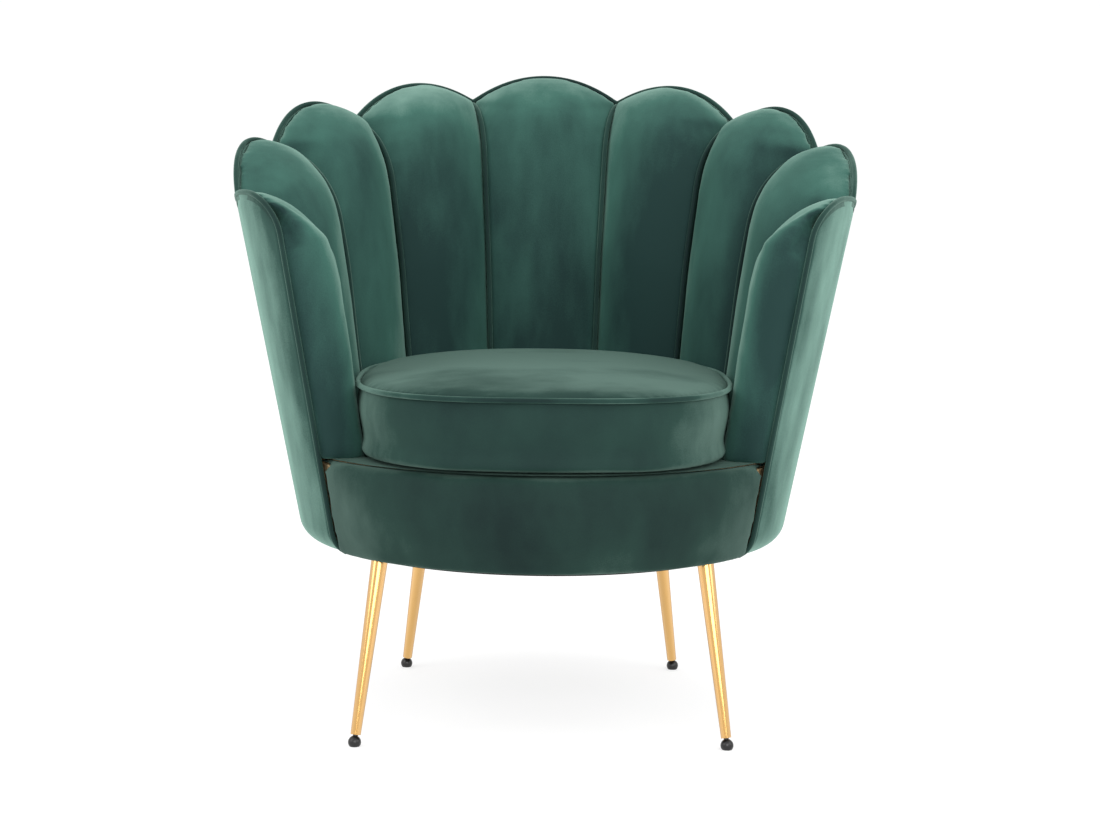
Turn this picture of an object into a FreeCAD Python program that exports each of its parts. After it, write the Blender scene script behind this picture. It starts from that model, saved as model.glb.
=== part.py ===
import FreeCAD, Part
import math
import os

Vector = FreeCAD.Vector
doc = FreeCAD.newDocument("scallop_back_chair")

# Driving dimensions, in millimetres and degrees, one cell each
# Plan angles run from the middle of the back (0) round to the arm fronts
DRIVING = {
    # Outer form of the tub: an ellipse in plan that widens as it rises
    "base_height": 211,
    "half_width_base": 298,
    "half_depth_base": 320,
    "side_flare": 0.2,
    "back_flare": 0.114,
    "plan_centre": 30,
    "underside_round": 25,
    # Scalloped rim: heights over the floor of each petal's peak and of the valleys between
    "peak_centre": 790,
    "peak_second": 776,
    "peak_third": 747,
    "peak_fourth": 691,
    "peak_arm": 638,
    "valley_first": 754,
    "valley_second": 726,
    "valley_third": 692,
    "valley_fourth": 622,
    "seam_first": 14.3,
    "seam_second": 40.2,
    "seam_third": 64.5,
    "seam_fourth": 94,
    "arm_front": 124,
    "arm_peak_angle": 112,
    "arm_corner_drop": 44,
    # Padding: wall from the outer face to the seams, and how far each petal swells past them
    "wall_rear": 60,
    "wall_side_gain": 28,
    "wall_seat_relief": 10,
    "relief_top": 540,
    "petal_crown": 20,
    "arm_thinning": 18,
    "roll_share": 1.05,
    "nose_forward": 16,
    "nose_back": 24,
    "nose_fullness": 0.45,
    "nose_swell": 0.25,
    "cloth": 1.5,
    "seam_gap": 0.4,
    "seam_groove": 6.5,
    "seam_groove_width": 4.3,
    "piping_radius": 3.2,
    "piping_proud": 1.5,
    "piping_clearance": 0.3,
    "piping_joint_spare": 0.08,
    "rim_cord_gap": 0.85,
    "arm_pad_gap": 0.6,
    "panel_thickness": 7.5,
    "panel_crown": 4,
    "shell_thickness": 12,
    "shell_top_drop": 18.5,
    "pad_over_shell_drop": 15,
    "layer_gap": 0.3,
    # Timber under the seat
    "base_board_thickness": 18,
    "frame_clearance": 1.2,
    "seat_board_thickness": 18,
    "seat_board_top": 325,
    "board_opening_half_width": 160,
    "board_opening_front": 160,
    "board_opening_rear": 190,
    "board_opening_round": 30,
    "board_end_angle": 115.5,
    "block_side": 45,
    "side_block_across": 190,
    "side_block_forward": 130,
    "side_block_back": 120,
    "rear_block_across": 70,
    "rear_block_back": 245,
    "front_board_radius": 262,
    "front_board_thickness": 15,
    "front_board_top_drop": 8,
    "front_board_inset": 15,
    "front_board_end_angle": 123.4,
    # Upholstered front rail
    "rail_front_base": 287,
    "rail_front_bulge": 302,
    "rail_front_top": 292,
    "rail_edge_round": 5,
    "rail_top_round": 20,
    # Seat springs, their clips and the deck over them
    "spring_wire": 3.4,
    "spring_loop": 10,
    "spring_width": 46,
    "spring_spacing": 78,
    "spring_depth": 11,
    "spring_inset": 4,
    "clip_thickness": 8,
    "clip_height": 12,
    "clip_width": 22,
    "deck_thickness": 5,
    # Loose seat cushion
    "cushion_half_width": 228,
    "cushion_front": 288,
    "cushion_rear": 285,
    "cushion_squareness": 3,
    "cushion_rear_squareness": 2.4,
    "cushion_seam_height": 410,
    "cushion_crown": 20,
    "cushion_base_round": 32,
    "cushion_draw_in": 7,
    "seat_clearance": 0.5,
    # Legs, their plates and screws, and the glides
    "leg_top_radius": 10,
    "leg_foot_radius": 6,
    "leg_wall": 1.2,
    "leg_nut_length": 26,
    "front_foot_across": 216,
    "front_foot_forward": 223,
    "rear_foot_across": 178,
    "rear_foot_back": 210,
    "splay_across": 0.124,
    "front_splay": 0.215,
    "rear_splay": 0.14,
    "plate_side": 50,
    "plate_thickness": 2.5,
    "plate_inset": 13,
    "screw_radius": 2,
    "screw_head_radius": 3.8,
    "screw_length": 15,
    "screw_pitch": 36,
    "screw_clearance": 0.15,
    "glide_radius": 7.6,
    "glide_height": 12.5,
    "glide_gap": 1,
    "glide_stud_radius": 3,
    "glide_stud_length": 20,
    "stud_clearance": 0.1,
    "dust_cover_thickness": 1,
    "dust_cover_inset": 36,
    "dust_cover_leg_gap": 1.5,
}

sheet = doc.addObject("Spreadsheet::Sheet", "Sizes")
for row, (alias, value) in enumerate(DRIVING.items(), 1):
    sheet.set("A%d" % row, alias.replace("_", " "))
    sheet.set("B%d" % row, str(value))
    sheet.setAlias("B%d" % row, alias)
doc.recompute()


def size(alias):
    return float(sheet.get(alias))


# Values worked out from the driving dimensions
base_height = size("base_height")
cloth = size("cloth")
layer_gap = size("layer_gap")
piping_radius = size("piping_radius")
piping_width = 2 * piping_radius
panel_back = size("panel_thickness") + layer_gap
shell_back = panel_back + size("shell_thickness")
pad_back = shell_back + layer_gap
board_back = pad_back
seat_board_top = size("seat_board_top")
petal_base = seat_board_top
plate_face = base_height + size("dust_cover_thickness")
base_board_bottom = plate_face + size("plate_thickness")
base_board_top = base_board_bottom + size("base_board_thickness")
seat_board_bottom = seat_board_top - size("seat_board_thickness")
arm_front = size("arm_front")
seam_fourth = size("seam_fourth")

SEAMS = [-arm_front] + [-size("seam_" + word) for word in ("fourth", "third", "second", "first")]
SEAMS += [-angle for angle in reversed(SEAMS)]
VALLEYS = [size("valley_" + word) - piping_width for word in ("fourth", "third", "second", "first")]
VALLEYS = [VALLEYS[0]] + VALLEYS
VALLEYS += list(reversed(VALLEYS))
PEAKS = [size("peak_" + word) - piping_width for word in ("arm", "fourth", "third", "second", "centre")]
PEAKS += list(reversed(PEAKS[:-1]))


# Where the tub stands: its axis is moved so that the chair's box is centred on the origin
back_rise = size("peak_centre") - piping_width - base_height
rear_reach = size("plan_centre") + size("half_depth_base") + size("back_flare") * back_rise
front_reach = size("rail_front_bulge")
axis_y = (front_reach - rear_reach) / 2


def tub_point(angle, height, inset):
    """A point at a plan angle and height, an inset inside the outer face."""
    rise = height - base_height
    across = size("half_width_base") + size("side_flare") * rise - inset
    along = size("half_depth_base") + size("back_flare") * rise - inset
    turn = math.radians(angle)
    y = axis_y + size("plan_centre") + along * math.cos(turn)
    return Vector(across * math.sin(turn), y, height)


def angle_for(length, height):
    """The plan angle that a length along the outer face spans at the arms."""
    reach = size("half_width_base") + size("side_flare") * (height - base_height)
    return math.degrees(length / reach)


def underside_inset(height):
    """How far the outer face has turned in at a height near the underside."""
    radius = size("underside_round")
    left = radius - (height - base_height)
    if left <= 0:
        return 0.0
    return radius - math.sqrt(max(radius ** 2 - left ** 2, 0))


def wall(angle, height):
    """Wall from the outer face to the seam line between two petals."""
    thickness = size("wall_rear") + size("wall_side_gain") * math.sin(math.radians(angle)) ** 2
    share = (size("relief_top") - height) / (size("relief_top") - size("cushion_seam_height"))
    return thickness - size("wall_seat_relief") * min(max(share, 0), 1)


def roll(drop, thickness):
    """Share of the wall that is left a drop below the rim, where the padding rolls over."""
    height = size("roll_share") * thickness
    if drop >= height:
        return 1.0
    return math.sqrt(max(1 - (1 - max(drop, 0) / height) ** 2, 0))


def line(first, last):
    return Part.LineSegment(first, last).toShape()


def arc(first, middle, last):
    return Part.Arc(first, middle, last).toShape()


def ruled(sections):
    solid = Part.makeLoft(sections, True, True)
    if solid.Volume < 0:
        solid.reverse()
    return solid


def cord(edges, radius):
    """A round cord along joined lines and arcs, with a ball in each joint between two of them."""
    runs = []
    for edge in edges:
        start = edge.valueAt(edge.FirstParameter)
        along = edge.tangentAt(edge.FirstParameter)
        ring = Part.Wire(Part.makeCircle(radius, start, along))
        runs.append(Part.Wire([edge]).makePipeShell([ring], True, False))
        if edge is not edges[0]:
            runs.append(Part.makeSphere(radius + size("piping_joint_spare"), start, along))
    return runs[0].multiFuse(runs[1:]).removeSplitter()


def add_shape(label, shape):
    """A sub-part whose shape is worked out here from the sheet's sizes."""
    piece = doc.addObject("Part::Feature", label)
    piece.Label = label
    piece.Shape = shape
    piece.Placement = FreeCAD.Placement()
    return piece


nodes = []


def node(piece):
    """Counts a piece among the chair's sub-parts."""
    nodes.append(piece)
    return piece


class Petal:
    """One petal of the back, between two seams, with u from -1 at one seam to 1 at the next."""

    def __init__(self, index):
        self.left, self.right = SEAMS[index], SEAMS[index + 1]
        self.low, self.high = VALLEYS[index], VALLEYS[index + 1]
        self.peak = PEAKS[index]
        self.bump = self.peak - (self.low + self.high) / 2

    def angle(self, u):
        return (self.left + self.right) / 2 + u * (self.right - self.left) / 2

    def baseline(self, u):
        return (self.low + self.high) / 2 + u * (self.high - self.low) / 2

    def rim(self, u):
        return self.baseline(u) + self.bump * (1 - u * u)

    def depth(self, u, height):
        """Wall at u and a height, with the petal's crown and its roll over the rim."""
        full = wall(self.angle(u), height) + size("petal_crown") * (1 - u * u)
        return full * roll(self.rim(u) - height, wall(self.angle(u), height))


def side_shift(angle, distance, height):
    """A plan angle moved by a distance along the wall's inner side, away from a seam."""
    reach = tub_point(90, height, wall(angle, height)).x
    return angle + math.degrees(distance / reach)


def groove_width(depth):
    """Half the width of the groove for the cord, which narrows as it gets shallow."""
    gap = size("seam_gap")
    return gap + (size("seam_groove_width") - gap) * depth / size("seam_groove")


def back_inset(drop, spare):
    """Where a pad's back lies: on the shell, or on the outer panel once over the shell's top."""
    over = drop < size("pad_over_shell_drop")
    return (panel_back if over else pad_back) - spare


def in_one_plane(points, first, last):
    """The points with their heights moved into the plane that climbs from first to last."""
    along = Vector(last.x - first.x, last.y - first.y, 0)
    climb = (last.z - first.z) / along.Length
    along.normalize()
    return [Vector(p.x, p.y, first.z + climb * (p - first).dot(along)) for p in points]


def middle_section(petal, height_at, reach, skin, spare, drop, flat=False):
    """One cross-section of a middle petal: back arc, sides, seam grooves and crowned face."""
    ends = []
    for sign in (-1, 1):
        u = sign * reach
        height = height_at(u)
        back = back_inset(drop, spare)
        least = back_inset(drop, 0) + 2.5 - skin
        face = max(petal.depth(u, height) - skin, least)
        groove = min(size("seam_groove"), (face - least) / 2 + 0.4)
        wide = groove_width(groove)
        near = side_shift(petal.angle(u), -sign * (size("seam_gap") + skin), height)
        far = side_shift(petal.angle(u), -sign * (wide + skin), height)
        ends.append((
            tub_point(near, height, back),
            tub_point(near, height, face - groove),
            tub_point(far, height, face),
        ))
    height = height_at(0)
    back = tub_point(petal.angle(0), height, back_inset(drop, spare))
    face = tub_point(petal.angle(0), height, petal.depth(0, height) - skin)
    points = [*ends[0], *ends[1], back, face]
    if flat:
        points = in_one_plane(points, ends[0][0], ends[1][0])
    back_1, side_1, face_1, back_2, side_2, face_2, back, face = points
    return Part.Wire([
        arc(back_1, back, back_2),
        line(back_2, side_2),
        line(side_2, face_2),
        arc(face_2, face, face_1),
        line(face_1, side_1),
        line(side_1, back_1),
    ])


def middle_petal(petal, skin, spare):
    """A middle petal's solid, a skin inside its velvet face and its back moved out by a spare."""
    sections = []
    for share in (0, 0.3, 0.65):
        sections.append(middle_section(
            petal, lambda u: petal_base + share * (petal.baseline(u) - 80 - petal_base), 1, skin, spare, 100))
    for drop in (80, 50, 28, 17, 13, 5, -1):
        sections.append(
            middle_section(petal, lambda u: petal.baseline(u) - drop, 1, skin, spare, drop))
    for share in (0.25, 0.5, 0.72, 0.88, 0.96):
        rise = share * petal.bump - skin * share
        reach = math.sqrt(1 - share)
        sections.append(
            middle_section(petal, lambda u: petal.baseline(u) + rise, reach, skin, spare, 0, share > 0.9))
    return ruled(sections)


class Arm:
    """The front petal of an arm; its rim is nearly level and rounds down at the front."""

    def __init__(self, side):
        self.side = side
        self.rear = seam_fourth
        self.valley = VALLEYS[0]
        self.peak = PEAKS[0]
        self.top_angle = size("arm_peak_angle")
        self.corner = self.peak - size("arm_corner_drop")

    def rim(self, angle):
        if angle < self.top_angle:
            share = (self.top_angle - angle) / (self.top_angle - self.rear)
            return self.valley + (self.peak - self.valley) * math.sqrt(max(1 - share ** 2, 0))
        share = min((angle - self.top_angle) / (arm_front - self.top_angle), 1)
        return self.corner + (self.peak - self.corner) * math.sqrt(max(1 - share ** 2, 0))

    def rear_angle(self, height):
        share = min(max((height - self.valley) / (self.peak - self.valley), 0), 1)
        return self.top_angle - (self.top_angle - self.rear) * math.sqrt(1 - share ** 2)

    def front_angle(self, height):
        share = min(max((height - self.corner) / (self.peak - self.corner), 0), 1)
        return self.top_angle + (arm_front - self.top_angle) * math.sqrt(1 - share ** 2)

    def depth(self, angle, height):
        share = min(max((angle - self.rear) / (arm_front - self.rear), 0), 1)
        full = wall(angle, height) + size("petal_crown") * 4 * share * (1 - share)
        full -= size("arm_thinning") * share ** 2
        return full * roll(self.rim(angle) - height, wall(angle, height))

    def point(self, angle, height, inset):
        return tub_point(self.side * angle, height, inset)


def arm_section(arm, height, skin, spare):
    """One cross-section of an arm petal: back arc, seam side, crowned face and rounded nose."""
    drop = arm.peak - height
    rear = arm.rear_angle(height)
    front = arm.front_angle(height)
    gap = 0 if skin == 0 else size("arm_pad_gap")
    back = back_inset(drop, spare) + gap
    least = back_inset(drop, 0) + gap + 2.5 - skin
    face = max(arm.depth(rear, height) - skin, least)
    groove = min(size("seam_groove"), (face - least) / 2 + 0.4)
    wide = groove_width(groove)
    near = side_shift(rear, size("seam_gap") + skin, height)
    far = side_shift(rear, wide + skin, height)
    middle = (rear + front) / 2
    share = min(max((arm.peak - height) / size("arm_corner_drop"), 0.12), 1)
    turn_back = angle_for(size("nose_back"), height) * share
    turn_front = angle_for(size("nose_forward") - skin, height) * share
    nose_angle = max(front - turn_back, middle + 0.3 * (front - middle))
    nose = max(arm.depth(nose_angle, height) - skin, least + 0.5)
    edge = front - angle_for(piping_radius + 2 * skin, height)
    chord = (arm.point(edge, height, back) - arm.point(nose_angle, height, nose)).Length
    ahead = angle_for((size("nose_fullness") + size("nose_swell") * share) * chord, height)
    tip = min(front + turn_front, (edge + nose_angle) / 2 + ahead)
    points = [
        arm.point(near, height, back),
        arm.point((near + edge) / 2, height, back),
        arm.point(edge, height, back),
        arm.point(tip, height, (back_inset(drop, 0) + nose) / 2),
        arm.point(nose_angle, height, nose),
        arm.point(middle, height, max(arm.depth(middle, height) - skin, nose)),
        arm.point(far, height, face),
        arm.point(near, height, face - groove),
    ]
    return Part.Wire([
        arc(points[0], points[1], points[2]),
        arc(points[2], points[3], points[4]),
        arc(points[4], points[5], points[6]),
        line(points[6], points[7]),
        line(points[7], points[0]),
    ])


def arm_petal(arm, skin, spare):
    """An arm petal's solid, a skin inside its velvet face and its back moved out by a spare."""
    heights = [petal_base, 400, 470, 530, 560, 580]
    heights += [arm.peak - drop - skin for drop in (34, 24, 17, 13, 7, 3, 1)]
    return ruled([arm_section(arm, height, skin, spare) for height in heights])


# The nine petals: a foam pad and a velvet cover each, from the left arm round to the right arm
for index in range(9):
    number = index + 1
    if index in (0, 8):
        form = Arm(-1 if index == 0 else 1)
        make = arm_petal
    else:
        form = Petal(index)
        make = middle_petal
    pad = make(form, cloth, 0)
    node(add_shape("petal_pad_%d" % number, pad))
    node(add_shape("petal_cover_%d" % number, make(form, 0, -layer_gap).cut(pad)))


def panel_section(ends, middle, tilt):
    """One cross-section of an outer back panel between two plan angles and heights."""
    (first, low), (last, high) = ends
    angle, height = middle
    points = []
    for at, level, swell in ((first, low, 1), (last, high, 1), (angle, height, 0)):
        turned = underside_inset(level)
        points.append(tub_point(at, level, turned + swell * size("panel_crown")))
        points.append(tub_point(at, level, turned + size("panel_thickness")))
    if tilt:
        points = in_one_plane(points, points[0], points[2])
    out_1, in_1, out_2, in_2, out, inner = points
    return Part.Wire([
        arc(out_1, out, out_2),
        line(out_2, in_2),
        arc(in_2, inner, in_1),
        line(in_1, out_1),
    ])


def underside_heights():
    """Levels that follow the rounded lower edge."""
    radius = size("underside_round")
    return [base_height + radius * (1 - math.cos(math.radians(turn))) for turn in (0, 30, 60, 90)]


def middle_panel(petal):
    """An outer panel behind a middle petal, up to the same scalloped rim."""
    def section(height_at, reach):
        ends = []
        for sign in (-1, 1):
            height = height_at(sign * reach)
            gap = angle_for(size("seam_gap"), height)
            ends.append((petal.angle(sign * reach) - sign * gap, height))
        return panel_section(ends, (petal.angle(0), height_at(0)), True)

    sections = [section(lambda u: height, 1) for height in underside_heights()]
    start = base_height + size("underside_round")
    for share in (0.4, 0.75):
        sections.append(section(lambda u: start + share * (petal.baseline(u) - start), 1))
    sections.append(section(petal.baseline, 1))
    for share in (0.25, 0.5, 0.72, 0.88, 0.96):
        sections.append(
            section(lambda u: petal.baseline(u) + share * petal.bump, math.sqrt(1 - share)))
    return ruled(sections)


def arm_panel(arm):
    """An outer panel on the side of an arm, up to its rounded front corner."""
    heights = underside_heights() + [400, arm.corner]
    heights += [arm.corner + share * (arm.peak - arm.corner) for share in (0.3, 0.55, 0.75, 0.9, 0.97)]
    sections = []
    for height in heights:
        rear = arm.side * (arm.rear_angle(height) + angle_for(size("seam_gap"), height))
        edge = piping_radius + size("piping_clearance")
        front = arm.side * (arm.front_angle(height) - angle_for(edge, height))
        ends = ((rear, height), (front, height))
        sections.append(panel_section(ends, ((rear + front) / 2, height), False))
    return ruled(sections)


# The outer back: nine plain-seamed velvet panels over wadding
for index in range(9):
    if index in (0, 8):
        panel = arm_panel(Arm(-1 if index == 0 else 1))
    else:
        panel = middle_panel(Petal(index))
    node(add_shape("back_panel_%d" % (index + 1), panel))


shell_base = base_height + size("underside_round") + layer_gap


def space_above(first, last):
    """A block that fills the space above the line between two points."""
    along = last - first
    reach = 3 * along.Length
    block = Part.makeBox(reach, reach, reach)
    turn = FreeCAD.Rotation(along, Vector(), Vector(0, 0, 1), "XZY")
    block.Placement = FreeCAD.Placement(first - turn.multVec(Vector(reach / 3, reach / 2, 0)), turn)
    return block


def shell_section(ends, middle):
    """One cross-section of a bay of the bent plywood shell."""
    points = []
    for angle, height in (*ends, middle):
        points.append(tub_point(angle, height, panel_back))
        points.append(tub_point(angle, height, shell_back))
    out_1, in_1, out_2, in_2, out, inner = points
    return Part.Wire([
        arc(out_1, out, out_2),
        line(out_2, in_2),
        arc(in_2, inner, in_1),
        line(in_1, out_1),
    ])


def shell_bay(index):
    """A bay of the shell behind one petal, its top a drop below the rim."""
    fall = size("shell_top_drop")
    if index in (0, 8):
        arm = Arm(-1 if index == 0 else 1)
        sections = []
        top = arm.peak - fall
        levels = [(shell_base, 2), (petal_base + layer_gap, 2), (petal_base + 8, 1)]
        levels += [(arm.valley - fall, 1), (top - 6, 1), (top - 2.5, 1), (top - 0.8, 1)]
        for height, share in levels:
            short = angle_for(size("nose_back") * share, height)
            rear = arm.side * arm.rear_angle(height + fall)
            front = arm.side * (arm.front_angle(height + fall) - short)
            sections.append(shell_section(((rear, height), (front, height)), ((rear + front) / 2, height)))
        return ruled(sections)
    petal = Petal(index)
    sections = []
    for height in (shell_base, max(petal.low, petal.high) - fall):
        sections.append(shell_section(
            ((petal.left, height), (petal.right, height)), (petal.angle(0), height)))
    bay = ruled(sections)
    if petal.low == petal.high:
        return bay
    return bay.cut(space_above(
        tub_point(petal.left, petal.low - fall, panel_back),
        tub_point(petal.right, petal.high - fall, panel_back)))


bays = [shell_bay(index) for index in range(9)]
node(add_shape("back_shell", bays[0].multiFuse(bays[1:]).removeSplitter()))


def front_arc(height, end_angle, end_inset, reach):
    """An arc round the front, from one arm to the other, a reach ahead of the tub's axis."""
    left = tub_point(-end_angle, height, end_inset)
    right = tub_point(end_angle, height, end_inset)
    return arc(left, Vector(0, axis_y - reach, height), right)


# Lengths and places that follow the sheet, written as expressions over its words
AXIS_Y = "($rail_front_bulge - $plan_centre - $half_depth_base - $back_flare * RISE) / 2"
AXIS_Y = AXIS_Y.replace("RISE", "($peak_centre - 2 * $piping_radius - $base_height)")
PLATE_FACE = "($base_height + $dust_cover_thickness)"
BASE_TOP = "(" + PLATE_FACE + " + $plate_thickness + $base_board_thickness)"
SEAT_BOTTOM = "($seat_board_top - $seat_board_thickness)"
OPEN_FRONT = "(" + AXIS_Y + " - $board_opening_front)"
OPEN_REAR = "(" + AXIS_Y + " + $board_opening_rear)"


def rule(text):
    return text.replace("$", "Sizes.")


def part(kind, label, **rules):
    """A Part object whose sizes follow the sheet."""
    piece = doc.addObject("Part::" + kind, label)
    piece.Label = label
    for word, text in rules.items():
        piece.setExpression(word, rule(text))
    return piece


def place(piece, x="0", y="0", z="0", axis="vector(0; 0; 1)", angle="0"):
    """Stands a piece at a place, turned about an axis by an angle."""
    text = "placement(vector(%s; %s; %s); rotation(%s; %s))" % (x, y, z, axis, angle)
    piece.setExpression("Placement", rule(text))
    return piece


def gather(kind, label, pieces):
    """Several pieces as one compound or one fused form."""
    whole = doc.addObject("Part::" + kind, label)
    whole.Label = label
    setattr(whole, "Links" if kind == "Compound" else "Shapes", pieces)
    return whole


def cut(label, base, tool):
    piece = doc.addObject("Part::Cut", label)
    piece.Label = label
    piece.Base = base
    piece.Tool = tool
    return piece


def raised(label, outline, thickness):
    """A flat piece of an outline's form, as thick as the sheet says."""
    flat = add_shape(label + "_outline", Part.Face(outline))
    piece = part("Extrusion", label, LengthFwd=thickness)
    piece.Base = flat
    piece.DirMode = "Custom"
    piece.Dir = Vector(0, 0, 1)
    piece.Solid = True
    return piece


def rounded_upright(label, box):
    """A box whose four upright edges are rounded as the opening under the seat."""
    doc.recompute()
    piece = doc.addObject("Part::Fillet", label)
    piece.Label = label
    piece.Base = box
    corner = size("board_opening_round")
    chosen = []
    for number, edge in enumerate(box.Shape.Edges, 1):
        if abs(edge.tangentAt(edge.FirstParameter).z) > 0.9:
            chosen.append((number, corner, corner))
    piece.Edges = chosen
    return piece


def board_outline(height, inset, reach):
    """The outline of a board under the seat: round the tub and across the front."""
    stops = [-board_end] + SEAMS[1:-1] + [board_end]
    edges = [front_arc(height, board_end, inset, reach)]
    for first, last in zip(reversed(stops[1:]), reversed(stops[:-1])):
        edges.append(arc(
            tub_point(first, height, inset),
            tub_point((first + last) / 2, height, inset),
            tub_point(last, height, inset)))
    return Part.Wire(edges)


board_end = size("board_end_angle")
front_face = size("front_board_radius") + size("front_board_thickness")

# Legs: the side and end that each stands on, as signs, and the words of its sizes
LEGS = (
    ("front_left", "-1", "-1", "front"),
    ("front_right", "1", "-1", "front"),
    ("rear_left", "-1", "1", "rear"),
    ("rear_right", "1", "1", "rear"),
)


class Leg:
    """One leg's line, from the middle of its foot on the floor up to the seat."""

    def __init__(self, word, side, end, row):
        self.word = word
        step = "$front_foot_forward" if row == "front" else "$rear_foot_back"
        self.foot_x = "%s * $%s_foot_across" % (side, row)
        self.foot_y = "(%s + %s * %s)" % (AXIS_Y, end, step)
        self.lean_x = "(-(%s) * $splay_across)" % side
        self.lean_y = "(-(%s) * $%s_splay)" % (end, row)
        self.slope = "sqrt($splay_across ^ 2 + $%s_splay ^ 2)" % row
        self.stretch = "sqrt(1 + $splay_across ^ 2 + $%s_splay ^ 2)" % row

    def at(self, height):
        """The leg's line at a height over the floor."""
        return (
            "(%s + %s * %s)" % (self.foot_x, self.lean_x, height),
            "(%s + %s * %s)" % (self.foot_y, self.lean_y, height))

    def tilt(self, piece):
        """Stands an upright piece along the leg, from the middle of its foot."""
        axis = "vector(-%s; %s; 0)" % (self.lean_y, self.lean_x)
        return place(piece, self.foot_x, self.foot_y, "0", axis, "atan(%s)" % self.slope)

    def on_plate(self, piece):
        """Puts a flat piece on the leg's plate, turned to face away from the tub's axis."""
        x, y = self.at(PLATE_FACE)
        turn = "atan2(%s - %s; %s)" % (y, AXIS_Y, x)
        middle_x = "%s - $plate_inset * cos(%s)" % (x, turn)
        middle_y = "%s - $plate_inset * sin(%s)" % (y, turn)
        return place(piece, middle_x, middle_y, PLATE_FACE, angle=turn)


legs = [Leg(*words) for words in LEGS]


def screws(label, spare):
    """The four countersunk wood screws of a plate, or their holes with a spare."""
    sink = "($screw_head_radius - $screw_radius)"
    cone = part("Cone", label + "_head", Radius1="$screw_head_radius + " + spare,
                Radius2="$screw_radius + " + spare, Height=sink)
    rod = part("Cylinder", label + "_shank", Radius="$screw_radius + " + spare,
               Height="$screw_length + " + spare)
    form = gather("MultiFuse", label + "_form", [cone, rod])
    copies = []
    for number, (x, y) in enumerate((("-1", "-1"), ("-1", "1"), ("1", "-1"), ("1", "1")), 1):
        copy = gather("Compound", "%s_%d" % (label, number), [form])
        copies.append(place(copy, x + " * $screw_pitch / 2", y + " * $screw_pitch / 2"))
    return gather("Compound", label, copies)


# Each leg's square plate and its four screws
screw_set = screws("screw_set", "0")
hole_set = screws("hole_set", "$screw_clearance")
plate_blank = part("Box", "plate_blank", Length="$plate_side", Width="$plate_side", Height="$plate_thickness")
place(plate_blank, "-$plate_side / 2", "-$plate_side / 2")
plate = cut("plate_form", plate_blank, hole_set)
plates = [leg.on_plate(gather("Compound", "plate_" + leg.word, [plate])) for leg in legs]
plate_screws = [leg.on_plate(gather("Compound", "screws_" + leg.word, [screw_set])) for leg in legs]
plate_holes = [leg.on_plate(gather("Compound", "holes_" + leg.word, [hole_set])) for leg in legs]
node(gather("MultiFuse", "leg_plates", plates))
node(gather("MultiFuse", "leg_plate_screws", plate_screws))

# The two boards, each with the opening under the seat
opening_box = part(
    "Box", "opening_box", Length="2 * $board_opening_half_width",
    Width="$board_opening_front + $board_opening_rear",
    Height="$seat_board_top - " + PLATE_FACE + " + 2")
place(opening_box, "-$board_opening_half_width", OPEN_FRONT, PLATE_FACE + " - 1")
opening = rounded_upright("opening", opening_box)
base_inset = max(board_back, underside_inset(base_board_bottom) + size("panel_thickness"))
base_inset += size("frame_clearance")
base_blank = raised(
    "base_board_blank", board_outline(base_board_bottom, base_inset, front_face), "$base_board_thickness")
node(cut("base_board", base_blank, gather("MultiFuse", "base_board_cuts", [opening, *plate_holes])))
seat_blank = raised(
    "seat_board_blank", board_outline(seat_board_bottom, board_back, size("front_board_radius")),
    "$seat_board_thickness")
node(cut("seat_board", seat_blank, opening))

# Six timber blocks hold the two boards apart
blocks = []
for number, (x, y) in enumerate((
        ("-$side_block_across", "-$side_block_forward"), ("$side_block_across", "-$side_block_forward"),
        ("-$side_block_across", "$side_block_back"), ("$side_block_across", "$side_block_back"),
        ("-$rear_block_across", "$rear_block_back"), ("$rear_block_across", "$rear_block_back")), 1):
    timber = part(
        "Box", "block_%d" % number, Length="$block_side", Width="$block_side",
        Height=SEAT_BOTTOM + " - " + BASE_TOP)
    place(timber, x + " - $block_side / 2", AXIS_Y + " + " + y + " - $block_side / 2", BASE_TOP)
    blocks.append(timber)
node(gather("MultiFuse", "frame_blocks", blocks))


def band_section(height, inner, outer, shoulder=None):
    """A curved band across the front between two arcs, with a shoulder at each end if given."""
    rows = [outer, inner]
    ends = [tub_point(angle, height, inset) for angle, inset, reach in rows]
    if shoulder:
        ends.insert(1, tub_point(shoulder[0], height, shoulder[1]))
    edges = [front_arc(height, *outer)]
    edges += [line(first, last) for first, last in zip(ends, ends[1:])]
    edges.append(front_arc(height, *inner))
    mirrored = [Vector(-end.x, end.y, end.z) for end in reversed(ends)]
    edges += [line(first, last) for first, last in zip(mirrored, mirrored[1:])]
    return Part.Wire(edges)


front_board_top = seat_board_top - size("front_board_top_drop")
inner = (board_end, board_back - layer_gap, size("front_board_radius") + layer_gap)
outer = (size("front_board_end_angle"), size("front_board_inset"), front_face)
node(add_shape("front_rail_board", ruled([
    band_section(level, inner, outer) for level in (base_board_top, front_board_top)])))


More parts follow.
